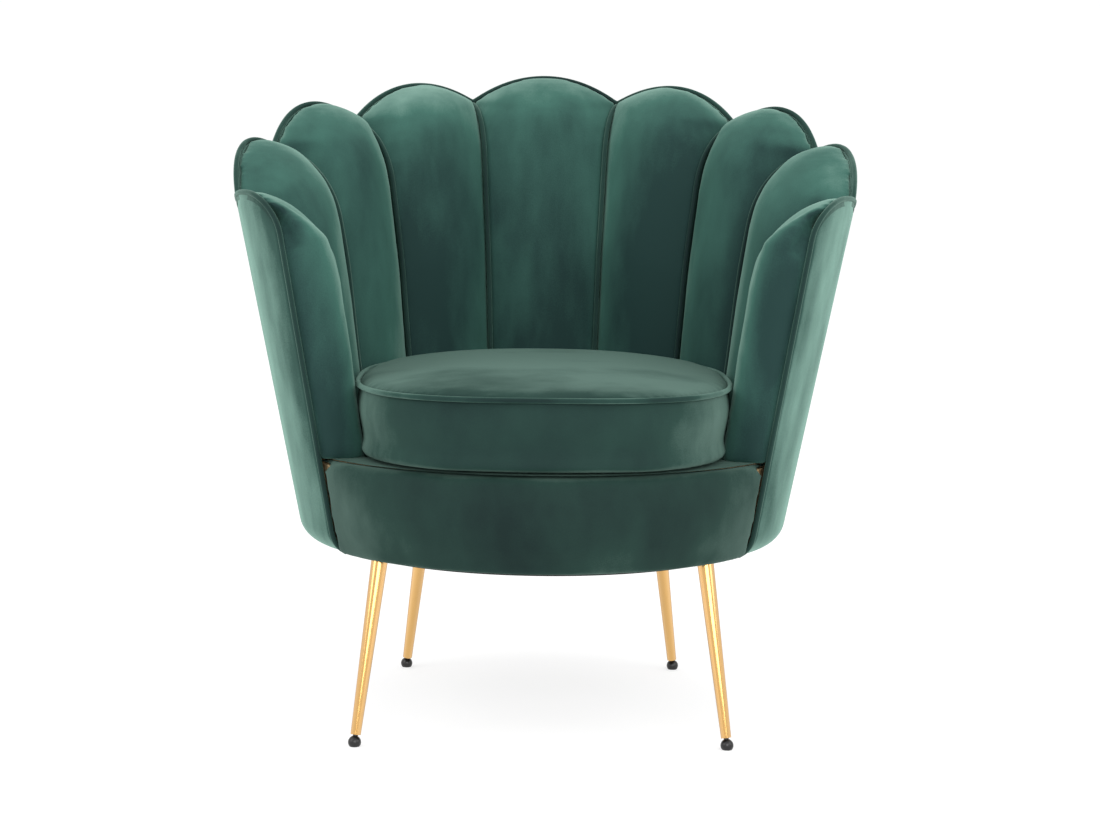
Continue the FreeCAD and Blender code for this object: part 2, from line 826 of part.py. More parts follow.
def rail_solid(skin, spare):
    """The padded front rail: rounded below, bowed in front and rolled back over its board."""
    bottom = base_height + skin
    top = seat_board_top - 1 - skin
    edge = size("rail_edge_round")
    over = size("rail_top_round")
    bulge_height = base_height + 0.5 * (seat_board_top - base_height)
    base_reach = size("rail_front_base")
    bulge = size("rail_front_bulge")
    crest = size("rail_front_top")
    profile = [
        (bottom, base_reach - edge, 0),
        (bottom + 0.15 * edge, base_reach - 0.5 * edge, 0),
        (bottom + 0.5 * edge, base_reach - 0.13 * edge, 0),
        (bottom + edge, base_reach, 0),
        ((bottom + edge + bulge_height) / 2, base_reach + 0.7 * (bulge - base_reach), 0),
        (bulge_height, bulge, 0),
        (top - 1.4 * over, (bulge + crest) / 2 + 2, 0),
        (top - 0.6 * over, crest, 0),
        (front_board_top, crest - 0.18 * over, 1.5),
        (front_board_top + layer_gap, crest - 0.2 * over, 1.6),
        (top - 0.1 * over, crest - 0.55 * over, 3),
        (top, crest - over, 5),
    ]
    sections = []
    for height, reach, tuck in profile:
        end = arm_front + angle_for(piping_radius + size("piping_clearance") + skin, height)
        inset = size("panel_crown") + underside_inset(height) * 0.2 + skin + tuck
        if height > front_board_top:
            back = (board_end, board_back - layer_gap, size("front_board_radius") + layer_gap - spare)
            shoulder = size("front_board_inset") - 4 + tuck
        else:
            back = (end + 0.1, size("front_board_inset") - 1 + spare, front_face + layer_gap - spare)
            shoulder = size("front_board_inset") - 3
        sections.append(band_section(height, back, (end + tuck, inset, reach - skin), (end + tuck, shoulder)))
    return ruled(sections)


rail_pad = rail_solid(cloth, 0)
node(add_shape("front_rail_pad", rail_pad))
node(add_shape("front_rail_cover", rail_solid(0, -layer_gap).cut(rail_pad)))


def seam_path(angle, valley):
    """The line of the cord in the seam between two petals, from the seat to the rim."""
    proud = size("piping_proud")
    full = wall(angle, valley)
    fall = size("roll_share") * full
    roll_start = valley - fall
    heights = [petal_base + piping_radius, size("cushion_seam_height"), size("relief_top")]
    heights = [height for height in heights if height < roll_start - 5] + [roll_start]
    points = [tub_point(angle, height, wall(angle, height) + proud) for height in heights]
    edges = [line(first, last) for first, last in zip(points, points[1:])]

    def roll_point(turn):
        height = roll_start + (fall + proud) * math.sin(math.radians(turn))
        return tub_point(angle, height, (full + proud) * math.cos(math.radians(turn)))
    edges.append(arc(roll_point(0), roll_point(26), roll_point(52)))
    edges.append(arc(roll_point(52), roll_point(63), roll_point(74)))
    return edges


for number, (angle, valley) in enumerate(zip(SEAMS[1:-1], VALLEYS[1:-1]), 1):
    node(add_shape("seam_piping_%d" % number, cord(seam_path(angle, valley), piping_radius)))


def rim_path():
    """The line of the cord round the whole rim, up one arm's front and down the other's."""
    inset = size("panel_thickness") / 2
    lift = piping_radius + size("rim_cord_gap")
    arm = Arm(1)

    def front(height):
        return arm.point(arm_front, height, inset + underside_inset(height))

    def corner(turn):
        sine = math.sin(math.radians(turn))
        angle = arm.top_angle + (arm_front - arm.top_angle) * math.cos(math.radians(turn))
        return arm.point(angle, arm.corner + (arm.peak - arm.corner + lift) * sine, inset)

    def top(share):
        angle = arm.rear + share * (arm.top_angle - arm.rear)
        return arm.point(angle, arm.rim(angle) + lift, inset)

    def rim_point(petal, u):
        reach = (tub_point(petal.right, 0, 0) - tub_point(petal.left, 0, 0)).Length / 2
        rise = math.sqrt(1 + (2 * petal.bump * u / reach) ** 2)
        return tub_point(petal.angle(u), petal.rim(u) + lift * rise, inset)

    round_end = base_height + size("underside_round")
    valley = rim_point(Petal(7), 1)
    right = [
        arc(valley, top(0.08), top(0.2)),
        arc(top(0.2), top(0.4), top(0.6)),
        arc(top(0.6), top(0.8), corner(90)),
        arc(corner(90), corner(68), corner(45)),
        arc(corner(45), corner(22), corner(0)),
        line(corner(0), front(round_end)),
        arc(front(round_end), front(base_height + 11), front(base_height + 3)),
    ]
    left = [edge.mirror(Vector(0, 0, 0), Vector(1, 0, 0)) for edge in reversed(right)]
    edges = [turned_about(edge) for edge in left]
    last = edges[-1].valueAt(edges[-1].LastParameter)
    for index in range(1, 8):
        petal = Petal(index)
        end = rim_point(petal, 1)
        edges.append(arc(last, rim_point(petal, 0), end))
        last = end
    return edges + right


def turned_about(edge):
    """The same arc or line, run from its other end."""
    first, last = edge.FirstParameter, edge.LastParameter
    middle = edge.valueAt((first + last) / 2)
    if edge.Curve.TypeId == "Part::GeomLine":
        return line(edge.valueAt(last), edge.valueAt(first))
    return arc(edge.valueAt(last), middle, edge.valueAt(first))


node(add_shape("rim_piping", cord(rim_path(), piping_radius)))

# Zigzag seat springs, clipped to the seat board and carrying the deck
SPRING_HEIGHT = "($seat_board_top - $spring_depth)"


def spring():
    """One zigzag spring about its middle line: straight runs across, joined by half turns."""
    loop = size("spring_loop")
    half = size("spring_width") / 2 - loop
    reach = size("board_opening_front") + size("board_opening_rear") - 2 * size("spring_inset")
    runs = int(reach // (2 * loop))
    pitch = reach / runs
    edges = []
    for step in range(runs + 1):
        y = step * pitch
        side = 1 if step % 2 == 0 else -1
        edges.append(line(Vector(-side * half, y, 0), Vector(side * half, y, 0)))
        if step < runs:
            edges.append(arc(
                Vector(side * half, y, 0), Vector(side * (half + pitch / 2), y + pitch / 2, 0),
                Vector(side * half, y + pitch, 0)))
    ring = Part.Wire(Part.makeCircle(size("spring_wire") / 2, Vector(-half, 0, 0), Vector(1, 0, 0)))
    return Part.Wire(edges).makePipeShell([ring], True, False)


spring_form = add_shape("spring_form", spring())
clip_block = part(
    "Box", "clip_block", Length="$clip_width", Width="$clip_thickness", Height="$clip_height")
place(clip_block, "-$clip_width / 2", "-$clip_thickness / 2", "-$clip_height / 2")
clip_bore = part("Cylinder", "clip_bore", Radius="$spring_wire / 2 + $layer_gap", Height="$clip_width + 2")
place(clip_bore, "-$clip_width / 2 - 1", "0", "0", "vector(0; 1; 0)", "90")
clip_form = cut("clip_form", clip_block, clip_bore)
springs = []
clips = []
for number, step in enumerate(("-1.5", "-0.5", "0.5", "1.5"), 1):
    x = step + " * $spring_spacing"
    copy = gather("Compound", "spring_%d" % number, [spring_form])
    springs.append(place(copy, x, OPEN_FRONT + " + $spring_inset", SPRING_HEIGHT))
    for end, y in (("front", OPEN_FRONT + " + $spring_inset"), ("rear", OPEN_REAR + " - $spring_inset")):
        copy = gather("Compound", "clip_%s_%d" % (end, number), [clip_form])
        clips.append(place(copy, x, y, SPRING_HEIGHT))
node(gather("MultiFuse", "seat_springs", springs))
node(gather("MultiFuse", "spring_clips", clips))
deck_box = part(
    "Box", "deck_box", Length="2 * ($board_opening_half_width - $layer_gap)",
    Width="$board_opening_front + $board_opening_rear - 2 * $layer_gap", Height="$deck_thickness")
place(
    deck_box, "$layer_gap - $board_opening_half_width", OPEN_FRONT + " + $layer_gap",
    "$seat_board_top - $deck_thickness")
node(rounded_upright("seat_deck", deck_box))


def cushion_point(turn, height, inset):
    """A point on the cushion's squarish oval outline, seen from above."""
    cosine = math.cos(math.radians(turn))
    sine = math.sin(math.radians(turn))
    power = 2 / size("cushion_rear_squareness" if sine > 0 else "cushion_squareness")
    along = size("cushion_rear" if sine > 0 else "cushion_front")
    x = (size("cushion_half_width") - inset) * math.copysign(abs(cosine) ** power, cosine)
    y = (along - inset) * math.copysign(abs(sine) ** power, sine)
    return Vector(x, axis_y + y, height)


def cushion_section(height, inset):
    edges = []
    for step in range(8):
        first, last = 45 * step + 112.5, 45 * step + 157.5
        edges.append(arc(
            cushion_point(first, height, inset),
            cushion_point((first + last) / 2, height, inset),
            cushion_point(last, height, inset)))
    return Part.Wire(edges)


cushion_base = seat_board_top + size("seat_clearance")
cushion_seam = size("cushion_seam_height")


def cushion_form(skin):
    """The cushion: rounded below, drawn-in boxing, a seam line and a crowned top."""
    round_off = size("cushion_base_round")
    draw = size("cushion_draw_in")
    crown = size("cushion_crown")
    middle = (cushion_base + round_off + cushion_seam) / 2
    profile = [
        (cushion_base + skin, round_off),
        (cushion_base + 0.12 * round_off + skin, 0.55 * round_off),
        (cushion_base + 0.4 * round_off, 0.35 * round_off),
        (cushion_base + round_off, 1.3 * draw),
        (middle, 0.6 * draw),
        (cushion_seam - 8, draw),
        (cushion_seam - 2, draw + 1),
        (cushion_seam + 0.12 * crown - 0.2 * skin, draw + 1.5),
        (cushion_seam + 0.45 * crown - skin, 16),
        (cushion_seam + 0.72 * crown - skin, 45),
        (cushion_seam + 0.92 * crown - skin, 95),
        (cushion_seam + crown - skin, 165),
    ]
    return ruled([cushion_section(height, inset + skin) for height, inset in profile])


foam = cushion_form(cloth)
node(add_shape("cushion_foam", foam))
node(add_shape("cushion_cover", cushion_form(0).cut(foam)))


def cushion_cord():
    """The line of the cord round the cushion; its two ends meet at the back."""
    inset = size("cushion_draw_in") - piping_radius - size("piping_clearance")
    edges = cushion_section(cushion_seam, inset).Edges
    first = edges[-1].FirstParameter
    last = edges[-1].LastParameter
    short = first + (last - first) * 0.995
    curve = edges[-1]
    edges[-1] = arc(curve.valueAt(first), curve.valueAt((first + short) / 2), curve.valueAt(short))
    return edges


node(add_shape("cushion_piping", cord(cushion_cord(), piping_radius)))

# The cloth under the chair, with a hole for each leg
cloth_blank = raised(
    "dust_cover_blank", board_outline(base_height, size("dust_cover_inset"), front_face),
    "$dust_cover_thickness")
leg_holes = []
for leg in legs:
    hole = part(
        "Cylinder", "leg_hole_" + leg.word, Radius="$leg_top_radius + $dust_cover_leg_gap", Height="6")
    leg_holes.append(place(hole, *leg.at("($base_height - 2)"), "$base_height - 2"))
node(cut("dust_cover", cloth_blank, gather("MultiFuse", "dust_cover_cuts", leg_holes)))

# Legs of tapered tube with a nut in the foot, and a levelling glide with its stud in each
floor = part("Box", "floor", Length="2000", Width="2000", Height="100")
place(floor, "-1000", "-1000", "-100")
above_plate = part("Box", "above_plate", Length="2000", Width="2000", Height="100")
place(above_plate, "-1000", "-1000", PLATE_FACE)
for leg in legs:
    end = "($glide_height + $glide_gap)"
    length = "((" + PLATE_FACE + " + 8) * " + leg.stretch + " - " + end + ")"
    tube = part(
        "Cone", "tube_" + leg.word, Radius1="$leg_foot_radius", Radius2="$leg_top_radius", Height=length)
    place(tube, z=end)
    nut_share = "($leg_top_radius - $leg_foot_radius) * $leg_nut_length / " + length
    bore = part(
        "Cone", "bore_" + leg.word, Radius1="$leg_foot_radius - $leg_wall + " + nut_share,
        Radius2="$leg_top_radius - $leg_wall", Height=length + " - $leg_nut_length")
    place(bore, z=end + " + $leg_nut_length")
    thread = part(
        "Cylinder", "thread_" + leg.word, Radius="$glide_stud_radius + $stud_clearance",
        Height="$leg_nut_length + 2")
    place(thread, z=end + " - 1")
    hollow = gather("MultiFuse", "hollow_" + leg.word, [bore, thread])
    standing = leg.tilt(cut("standing_" + leg.word, tube, hollow))
    node(cut("leg_" + leg.word, standing, above_plate))
    dome = part("Sphere", "dome_" + leg.word, Radius="$glide_radius")
    place(dome, z="$glide_height - $glide_radius")
    stud = part(
        "Cylinder", "stud_" + leg.word, Radius="$glide_stud_radius",
        Height="$glide_radius + $glide_gap + $glide_stud_length")
    place(stud, z="$glide_height - $glide_radius")
    glide = leg.tilt(gather("MultiFuse", "glide_form_" + leg.word, [dome, stud]))
    node(cut("glide_" + leg.word, glide, floor))

doc.recompute()
for piece in doc.Objects:
    if "Invalid" in piece.State or "Error" in piece.State:
        raise ValueError("%s failed: %s" % (piece.Label, piece.State))
for piece in nodes:
    if piece.Shape.isNull() or not piece.Shape.isValid():
        raise ValueError("%s has no valid shape" % piece.Label)
os.makedirs("parts", exist_ok=True)
for piece in nodes:
    piece.Shape.exportStep("parts/%s.step" % piece.Label)
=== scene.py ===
"""Looks of the scallop back chair: velvet petals, cords, cushion, rail and outer panels over its frame."""
import math

import bmesh
import bpy
import numpy as np
from bpy.props import FloatProperty, FloatVectorProperty, IntProperty, PointerProperty
from mathutils import Matrix, Vector


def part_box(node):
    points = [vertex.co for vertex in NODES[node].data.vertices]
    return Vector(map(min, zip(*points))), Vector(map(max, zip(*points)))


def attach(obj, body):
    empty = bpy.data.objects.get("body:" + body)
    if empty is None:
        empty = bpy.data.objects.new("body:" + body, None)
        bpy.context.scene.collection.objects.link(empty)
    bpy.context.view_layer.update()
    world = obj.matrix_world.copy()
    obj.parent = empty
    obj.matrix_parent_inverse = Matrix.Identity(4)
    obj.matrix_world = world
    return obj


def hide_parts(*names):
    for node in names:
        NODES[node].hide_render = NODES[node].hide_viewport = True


bl_info = {
    "name": "Scallop back chair",
    "version": (1, 0, 0),
    "blender": (4, 5, 0),
    "location": "View3D > Sidebar > Chair",
    "description": "Dresses the packed frame of a scallop back chair in velvet and polished metal",
    "category": "Object",
}

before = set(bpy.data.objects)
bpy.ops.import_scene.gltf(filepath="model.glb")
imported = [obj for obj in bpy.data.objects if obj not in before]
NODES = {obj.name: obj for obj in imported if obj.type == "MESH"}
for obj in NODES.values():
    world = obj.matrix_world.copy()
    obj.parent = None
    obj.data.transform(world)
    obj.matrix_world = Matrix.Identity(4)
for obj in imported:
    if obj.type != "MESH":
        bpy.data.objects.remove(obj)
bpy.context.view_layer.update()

# The tub's form, in metres and degrees, as the frame has it: an ellipse in plan that widens as it rises.
# Plan angles run from the middle of the back, 0, round to the arm fronts.
BASE_HEIGHT = 0.211
HALF_WIDTH = 0.298
HALF_DEPTH = 0.320
SIDE_FLARE = 0.2
BACK_FLARE = 0.114
PLAN_CENTRE = 0.030
AXIS_Y = -0.0566382
PETAL_BASE = 0.325
UNDERSIDE_ROUND = 0.025
CORD_RADIUS = 0.0032
CORD_WIDTH = 2 * CORD_RADIUS
CORD_PROUD = 0.0015
FLANGE_HALF = 0.0005
RIM_CORD_LIFT = 0.0028
WALL_REAR = 0.060
WALL_SIDE_GAIN = 0.028
WALL_SEAT_RELIEF = 0.010
RELIEF_TOP = 0.540
CUSHION_SEAM = 0.410
ROLL_SHARE = 1.05
PANEL_THICKNESS = 0.0075
PANEL_CROWN = 0.004
PANEL_TUCK = 0.0025
PANEL_COLUMNS = 41
PANEL_ROWS = 49
ARM_FRONT = 124
ARM_TOP_ANGLE = 112
ARM_CORNER_DROP = 0.044
SEAMS = [-124, -94, -64.5, -40.2, -14.3, 14.3, 40.2, 64.5, 94, 124]
VALLEYS = [height - CORD_WIDTH for height in
           (0.622, 0.622, 0.692, 0.726, 0.754, 0.754, 0.726, 0.692, 0.622, 0.622)]
PEAKS = [height - CORD_WIDTH for height in
         (0.638, 0.691, 0.747, 0.776, 0.790, 0.776, 0.747, 0.691, 0.638)]
DECKING_END = 108
DECKING_REACH = 0.281
DECKING_CORNER = (0.266, -0.178)
DECKING_TUCK = 0.008
DECKING_LIFT = 0.0001
DECKING_THICKNESS = 0.0003
FELT_ROUND = 0.0012
LEGS = ("front_left", "front_right", "rear_left", "rear_right")

# Steps that find a point's place on the tub
PLACE_ROUNDS = 8

# Heights between which the petals' velvet goes from its tone at the seat to its tone at the rim: painted
# shade low down by the cushion and arms, partly the pile leaning
SHADE_LEAN_SEAT = 0.43
SHADE_LEAN_RIM = 0.74

# Padding: the cloth's share of its size, how far it settles, what smoothing takes off a petal's crest,
# and how wide each petal is held along its seams and against the shell
PETAL_SWELL = 0.0019
COVER_SWELL = 0.0012
SETTLE_CAP = 0.004
CREST_LOSS = 0.0035
CREST_BAND = (0.004, 0.03)
SEAM_HOLD = (0.004, 0.02)
SHELL_HOLD = (0.024, 0.012)
ARM_SIDE_FREE = 0.05
RAIL_CELL = 0.0042
CUSHION_CELL = 0.006

# An arm pad's front is brought out to its cord by the fill, from an inset, behind the front and under the rim
ARM_FILL = 0.012
ARM_FILL_INSET = (0.021, 0.022)
ARM_FILL_BEHIND = (0.012, 0.016)
ARM_FILL_UNDER = (0.012, 0.012)

# Outer panels: the tub's mean radius there, the gaps at the seams and at the arm fronts, and the tucked edges
PANEL_RADIUS = 0.34
PANEL_GAP = 0.0002
PANEL_FRONT_GAP = 0.0034
PANEL_SIDE_TUCK = 0.006
PANEL_TOP_TUCK = 0.005

# The seat cushion's plan: a fuller curve in front than behind, and how far its foam spreads low down
CUSHION_HALF_WIDTH = 0.228
CUSHION_REAR = 0.285
CUSHION_FRONT = 0.288
REAR_POWER = 2.4
FRONT_POWER = 3.0
CUSHION_BOTTOM = 0.327
CORNER_FILL = 0.013
CORNER_RISE = 0.024
SIDE_FILL = 0.003
SPREAD_FROM = 0.7
CUSHION_SEAM_HOLD = (0.002, 0.012)
CUSHION_BASE_HOLD = (0.02, 0.03)
RING_STEPS = 96

# Cords: the flange's depth behind a seam cord and under the rim cord, and the height where the latter starts
FLANGE_DEPTH = 0.014
FLANGE_DROP = 0.001
FLANGE_LEAST_INSET = 0.004
RIM_FLANGE_DEPTH = 0.009
RIM_FLANGE_FROM = 0.55
RIM_FRONT_HEIGHTS = (0.213, 0.217, 0.222, 0.229, 0.238, 0.26, 0.30, 0.35, 0.40, 0.45, 0.50, 0.55, 0.582)
RIM_ARM_ANGLES = np.arange(110.5, 94.9, -1.5)
RIM_MIDDLE_PETAL = 4
VALLEY_END = 0.985
SEAM_STEP = 0.02
SEAM_START = 0.004
ROLL_GAP = 0.003

# The camera's turn about the upright, its roll and its shift aside; the softboxes' places, sizes and powers
CAMERA_YAW = 0.0091
CAMERA_ROLL = 0.0113
CAMERA_ASIDE = 0.0082
SOFTBOX_AIM = (0, AXIS_Y, 0.45)
SOFTBOXES = (
    ("left_softbox", (-2.4, -1.2, 1.7), (1.6, 2.2), 24),
    ("right_softbox", (2.4, -1.2, 1.7), (1.6, 2.2), 20),
    ("top_softbox", (0, 0.5, 2.8), (2.4, 1.6), 6),
    ("front_softbox", (0.4, -3.4, 1.5), (2.6, 1.8), 55),
)


def tub_point(angle, height, inset):
    """A point at a plan angle and height, an inset inside the outer face."""
    rise = height - BASE_HEIGHT
    across = HALF_WIDTH + SIDE_FLARE * rise - inset
    along = HALF_DEPTH + BACK_FLARE * rise - inset
    turn = math.radians(angle)
    return Vector((across * math.sin(turn), AXIS_Y + PLAN_CENTRE + along * math.cos(turn), height))


def tub_place(points):
    """For an array of points: their plan angles in degrees and their insets."""
    rise = points[:, 2] - BASE_HEIGHT
    across = HALF_WIDTH + SIDE_FLARE * rise
    along = HALF_DEPTH + BACK_FLARE * rise
    x = points[:, 0]
    y = points[:, 1] - AXIS_Y - PLAN_CENTRE
    inset = np.zeros(len(points))
    for _ in range(PLACE_ROUNDS):
        turn = np.arctan2(x / (across - inset), y / (along - inset))
        reach = np.hypot(x, y)
        edge = np.hypot((across - inset) * np.sin(turn), (along - inset) * np.cos(turn))
        inset = inset + edge - reach
    return np.degrees(turn), inset


def underside_inset(height):
    """How far the outer face has turned in near the underside."""
    left = UNDERSIDE_ROUND - (height - BASE_HEIGHT)
    if left <= 0:
        return 0.0
    return UNDERSIDE_ROUND - math.sqrt(max(UNDERSIDE_ROUND ** 2 - left ** 2, 0))


def wall(angle, height):
    """Wall from the outer face to the seam line between two petals."""
    share = min(max((RELIEF_TOP - height) / (RELIEF_TOP - CUSHION_SEAM), 0), 1)
    return WALL_REAR + WALL_SIDE_GAIN * math.sin(math.radians(angle)) ** 2 - WALL_SEAT_RELIEF * share


def linear(colour):
    """A linear colour from an sRGB hex text."""
    values = [int(colour[place:place + 2], 16) / 255 for place in (1, 3, 5)]
    return tuple(v / 12.92 if v <= 0.04045 else ((v + 0.055) / 1.055) ** 2.4 for v in values) + (1.0,)


class VelvetSettings(bpy.types.PropertyGroup):
    """Colours of the velvet's painted sheen, from straight on to aslant, and its pile."""
    deep: FloatVectorProperty(
        name="Deep", description="The pile seen straight on", subtype="COLOR", size=4,
        min=0, max=1, default=linear("#162d2b"))
    pile: FloatVectorProperty(
        name="Pile", description="The pile seen aslant", subtype="COLOR", size=4,
        min=0, max=1, default=linear("#33584f"))
    tips: FloatVectorProperty(
        name="Tips", description="Light caught by the tips of the pile", subtype="COLOR", size=4,
        min=0, max=1, default=linear("#7fa598"))
    grain: FloatProperty(
        name="Grain", default=0.0011, min=0.0002, max=0.01, unit="LENGTH",
        description="Size of the pile's tufts, drawn coarser than the real 0.3 mm so that they show")


class PadSettings(bpy.types.PropertyGroup):
    """How the padding is filled and smoothed."""
    voxel: FloatProperty(
        name="Cell", description="Cell size of the padding's surface",
        default=0.005, min=0.002, max=0.02, unit="LENGTH")
    pressure: FloatProperty(
        name="Filling", description="Pressure of the filling while the cloth settles",
        default=4.0, min=0, max=20)
    frames: IntProperty(
        name="Settling", description="Steps that the cloth takes to settle", default=20, min=1, max=60)


class StageSettings(bpy.types.PropertyGroup):
    """Camera and light."""
    lens: FloatProperty(
        name="Lens", description="Focal length on a 36 mm sensor, in millimetres",
        default=78.46, min=20, max=200)
    height: FloatProperty(
        name="Height", description="Camera height over the floor", default=0.6874, unit="LENGTH")
    distance: FloatProperty(
        name="Distance", description="Camera distance in front of the tub's axis",
        default=2.9371, unit="LENGTH")
    pitch: FloatProperty(
        name="Pitch", description="How far the camera looks down", default=0.1088, subtype="ANGLE")


def add_node(tree, kind, settings=(), **inputs):
    """Adds a node; settings are its own values, and inputs are numbers, colours or (node, socket) links."""
    node = tree.nodes.new(kind)
    for name, value in dict(settings).items():
        setattr(node, name, value)
    for name, value in inputs.items():
        socket = node.inputs[int(name[1:])] if name[1:].isdigit() else node.inputs[name.replace("_", " ")]
        if isinstance(value, tuple) and len(value) == 2 and hasattr(value[0], "outputs"):
            tree.links.new(value[0].outputs[value[1]], socket)
        else:
            socket.default_value = value
    return node


def new_material(name):
    """An empty node material and its tree."""
    material = bpy.data.materials.new(name)
    material.use_nodes = True
    material.node_tree.nodes.clear()
    return material, material.node_tree


def shade(material, **inputs):
    """Gives the material its shader."""
    tree = material.node_tree
    shader = add_node(tree, "ShaderNodeBsdfPrincipled", **inputs)
    output = tree.nodes.new("ShaderNodeOutputMaterial")
    tree.links.new(shader.outputs["BSDF"], output.inputs["Surface"])
    return material


def ramp(tree, factor, stops):
    """A colour ramp over (place, colour) stops."""
    node = add_node(tree, "ShaderNodeValToRGB", Fac=factor)
    elements = node.color_ramp.elements
    while len(elements) < len(stops):
        elements.new(0.5)
    for element, (place, colour) in zip(elements, stops):
        element.position = place
        element.color = colour
    return node


def velvet(name, nap=(1, 1, 0.35), shift=0.0, painted_light_scale=(1.0, 1.0, 1.0), seat_shade_and_lean=(0.0, 0.0)):
    """Short-pile velvet, woven, cut and brushed, with brushed clouds and a painted sheen: dark seen straight
    on and light aslant.
    Its three colours are scaled per piece, lit and shaded copies as painted light and shade, and it is moved
    darker or lighter at the seat and at the rim: painted shade at the seat, partly the pile leaning."""
    settings = bpy.context.scene.scallop_velvet
    material, tree = new_material(name)
    place = add_node(tree, "ShaderNodeTexCoord")
    # Clouds of 60 to 150 mm where the pile was stroked one way or the other
    brushed = add_node(tree, "ShaderNodeMapping", Vector=(place, "Object"), Scale=nap)
    clouds = add_node(
        tree, "ShaderNodeTexNoise", Vector=(brushed, "Vector"), Scale=8.0, Detail=4.0, Roughness=0.55)
    # Tufts of the pile, about a millimetre so that they show
    tufts = add_node(
        tree, "ShaderNodeTexNoise", Vector=(place, "Object"), Scale=1 / settings.grain,
        Detail=2.0, Roughness=0.6)
    # Painted sheen: the velvet's colour runs from dark seen straight on to light seen aslant
    aslant = add_node(tree, "ShaderNodeLayerWeight", Blend=0.42)
    # Brushed clouds, moved darker or lighter per piece as painted light and shade
    clouds_and_light_shift = add_node(
        tree, "ShaderNodeMath", {"operation": "MULTIPLY_ADD"}, _0=(clouds, "Fac"), _1=1.5, _2=-0.75 + shift)
    level = add_node(tree, "ShaderNodeSeparateXYZ", Vector=(place, "Object"))
    # Darker towards the seat: painted shade of the cushion and arms, partly the pile leaning
    height_shade_ramp = add_node(
        tree, "ShaderNodeMapRange", Value=(level, "Z"), From_Min=SHADE_LEAN_SEAT, From_Max=SHADE_LEAN_RIM,
        To_Min=seat_shade_and_lean[0], To_Max=seat_shade_and_lean[1])
    clouds_and_seat_shade = add_node(tree, "ShaderNodeMath", _0=(clouds_and_light_shift, "Value"), _1=(height_shade_ramp, "Result"))
    tufts_clouds_and_shade = add_node(
        tree, "ShaderNodeMath", {"operation": "MULTIPLY_ADD"},
        _0=(tufts, "Fac"), _1=0.3, _2=(clouds_and_seat_shade, "Value"))
    # Painted sheen and painted shade, with the brushed clouds and tufts: where the colour ramp is read
    sheen_shade_and_clouds = add_node(
        tree, "ShaderNodeMath", {"operation": "ADD", "use_clamp": True},
        _0=(aslant, "Facing"), _1=(tufts_clouds_and_shade, "Value"))
    # Each piece's colours scaled lighter or darker: lit and shaded copies of one velvet, painted light and
    # shade
    deep, pile, tips = (
        tuple(value * scale for value in colour[:3]) + (1.0,)
        for colour, scale in zip((settings.deep, settings.pile, settings.tips), painted_light_scale))
    # Painted sheen: the ramp goes from the pile seen straight on to the light caught by its tips
    colour = ramp(tree, (sheen_shade_and_clouds, "Value"), [(0.0, deep), (0.5, pile), (1.0, tips)])
    bump = add_node(tree, "ShaderNodeBump", Strength=0.22, Distance=0.0006, Height=(tufts, "Fac"))
    return shade(
        material, Base_Color=(colour, "Color"), Normal=(bump, "Normal"), Roughness=0.78, IOR=1.46,
        Specular_IOR_Level=0.18, Sheen_Weight=0.3, Sheen_Roughness=0.38, Sheen_Tint=tips)


def plated_gold():
    """Steel tube polished and plated in a pinkish gold: a sharp mirror with faint polishing marks, darkened
    towards its edges as a painted reflection.
    """
    material, tree = new_material("polished_gold_plating")
    place = add_node(tree, "ShaderNodeTexCoord")
    along = add_node(tree, "ShaderNodeMapping", Vector=(place, "Object"), Scale=(900, 900, 30))
    marks = add_node(tree, "ShaderNodeTexNoise", Vector=(along, "Vector"), Scale=1.0, Detail=2.0)
    rough = add_node(
        tree, "ShaderNodeMapRange", Value=(marks, "Fac"),
        From_Min=0.3, From_Max=0.7, To_Min=0.07, To_Max=0.15)
    aslant = add_node(tree, "ShaderNodeLayerWeight", Blend=0.3)
    # Painted reflection: lighter seen straight on, darker seen aslant, standing for the studio's dark
    # reflections
    colour = ramp(tree, (aslant, "Facing"), [
        (0.0, linear("#dcae6c")), (0.25, linear("#e6bd86")),
        (0.5, linear("#c79a63")), (0.75, linear("#8a5f36"))])
    return shade(material, Base_Color=(colour, "Color"), Metallic=1.0, Roughness=(rough, "Result"))


def moulded(name, colour, roughness, grain):
    """Moulded plastic or lacquered steel, with the fine texture of its mould or its paint."""
    material, tree = new_material(name)
    place = add_node(tree, "ShaderNodeTexCoord")
    texture = add_node(tree, "ShaderNodeTexNoise", Vector=(place, "Object"), Scale=1 / grain, Detail=2.0)
    bump = add_node(tree, "ShaderNodeBump", Strength=0.15, Distance=0.0002, Height=(texture, "Fac"))
    return shade(
        material, Base_Color=linear(colour), Roughness=roughness, IOR=1.49, Normal=(bump, "Normal"))


def sawn_wood(name, light, dark, scale):
    """Bare wood with its grain drawn out along one way."""
    material, tree = new_material(name)
    place = add_node(tree, "ShaderNodeTexCoord")
    along = add_node(tree, "ShaderNodeMapping", Vector=(place, "Object"), Scale=scale)
    grain = add_node(
        tree, "ShaderNodeTexNoise", Vector=(along, "Vector"), Scale=1.0, Detail=5.0, Distortion=0.6)
    colour = ramp(tree, (grain, "Fac"), [(0.3, linear(dark)), (0.7, linear(light))])
    bump = add_node(tree, "ShaderNodeBump", Strength=0.2, Distance=0.0004, Height=(grain, "Fac"))
    return shade(material, Base_Color=(colour, "Color"), Roughness=0.7, Normal=(bump, "Normal"))


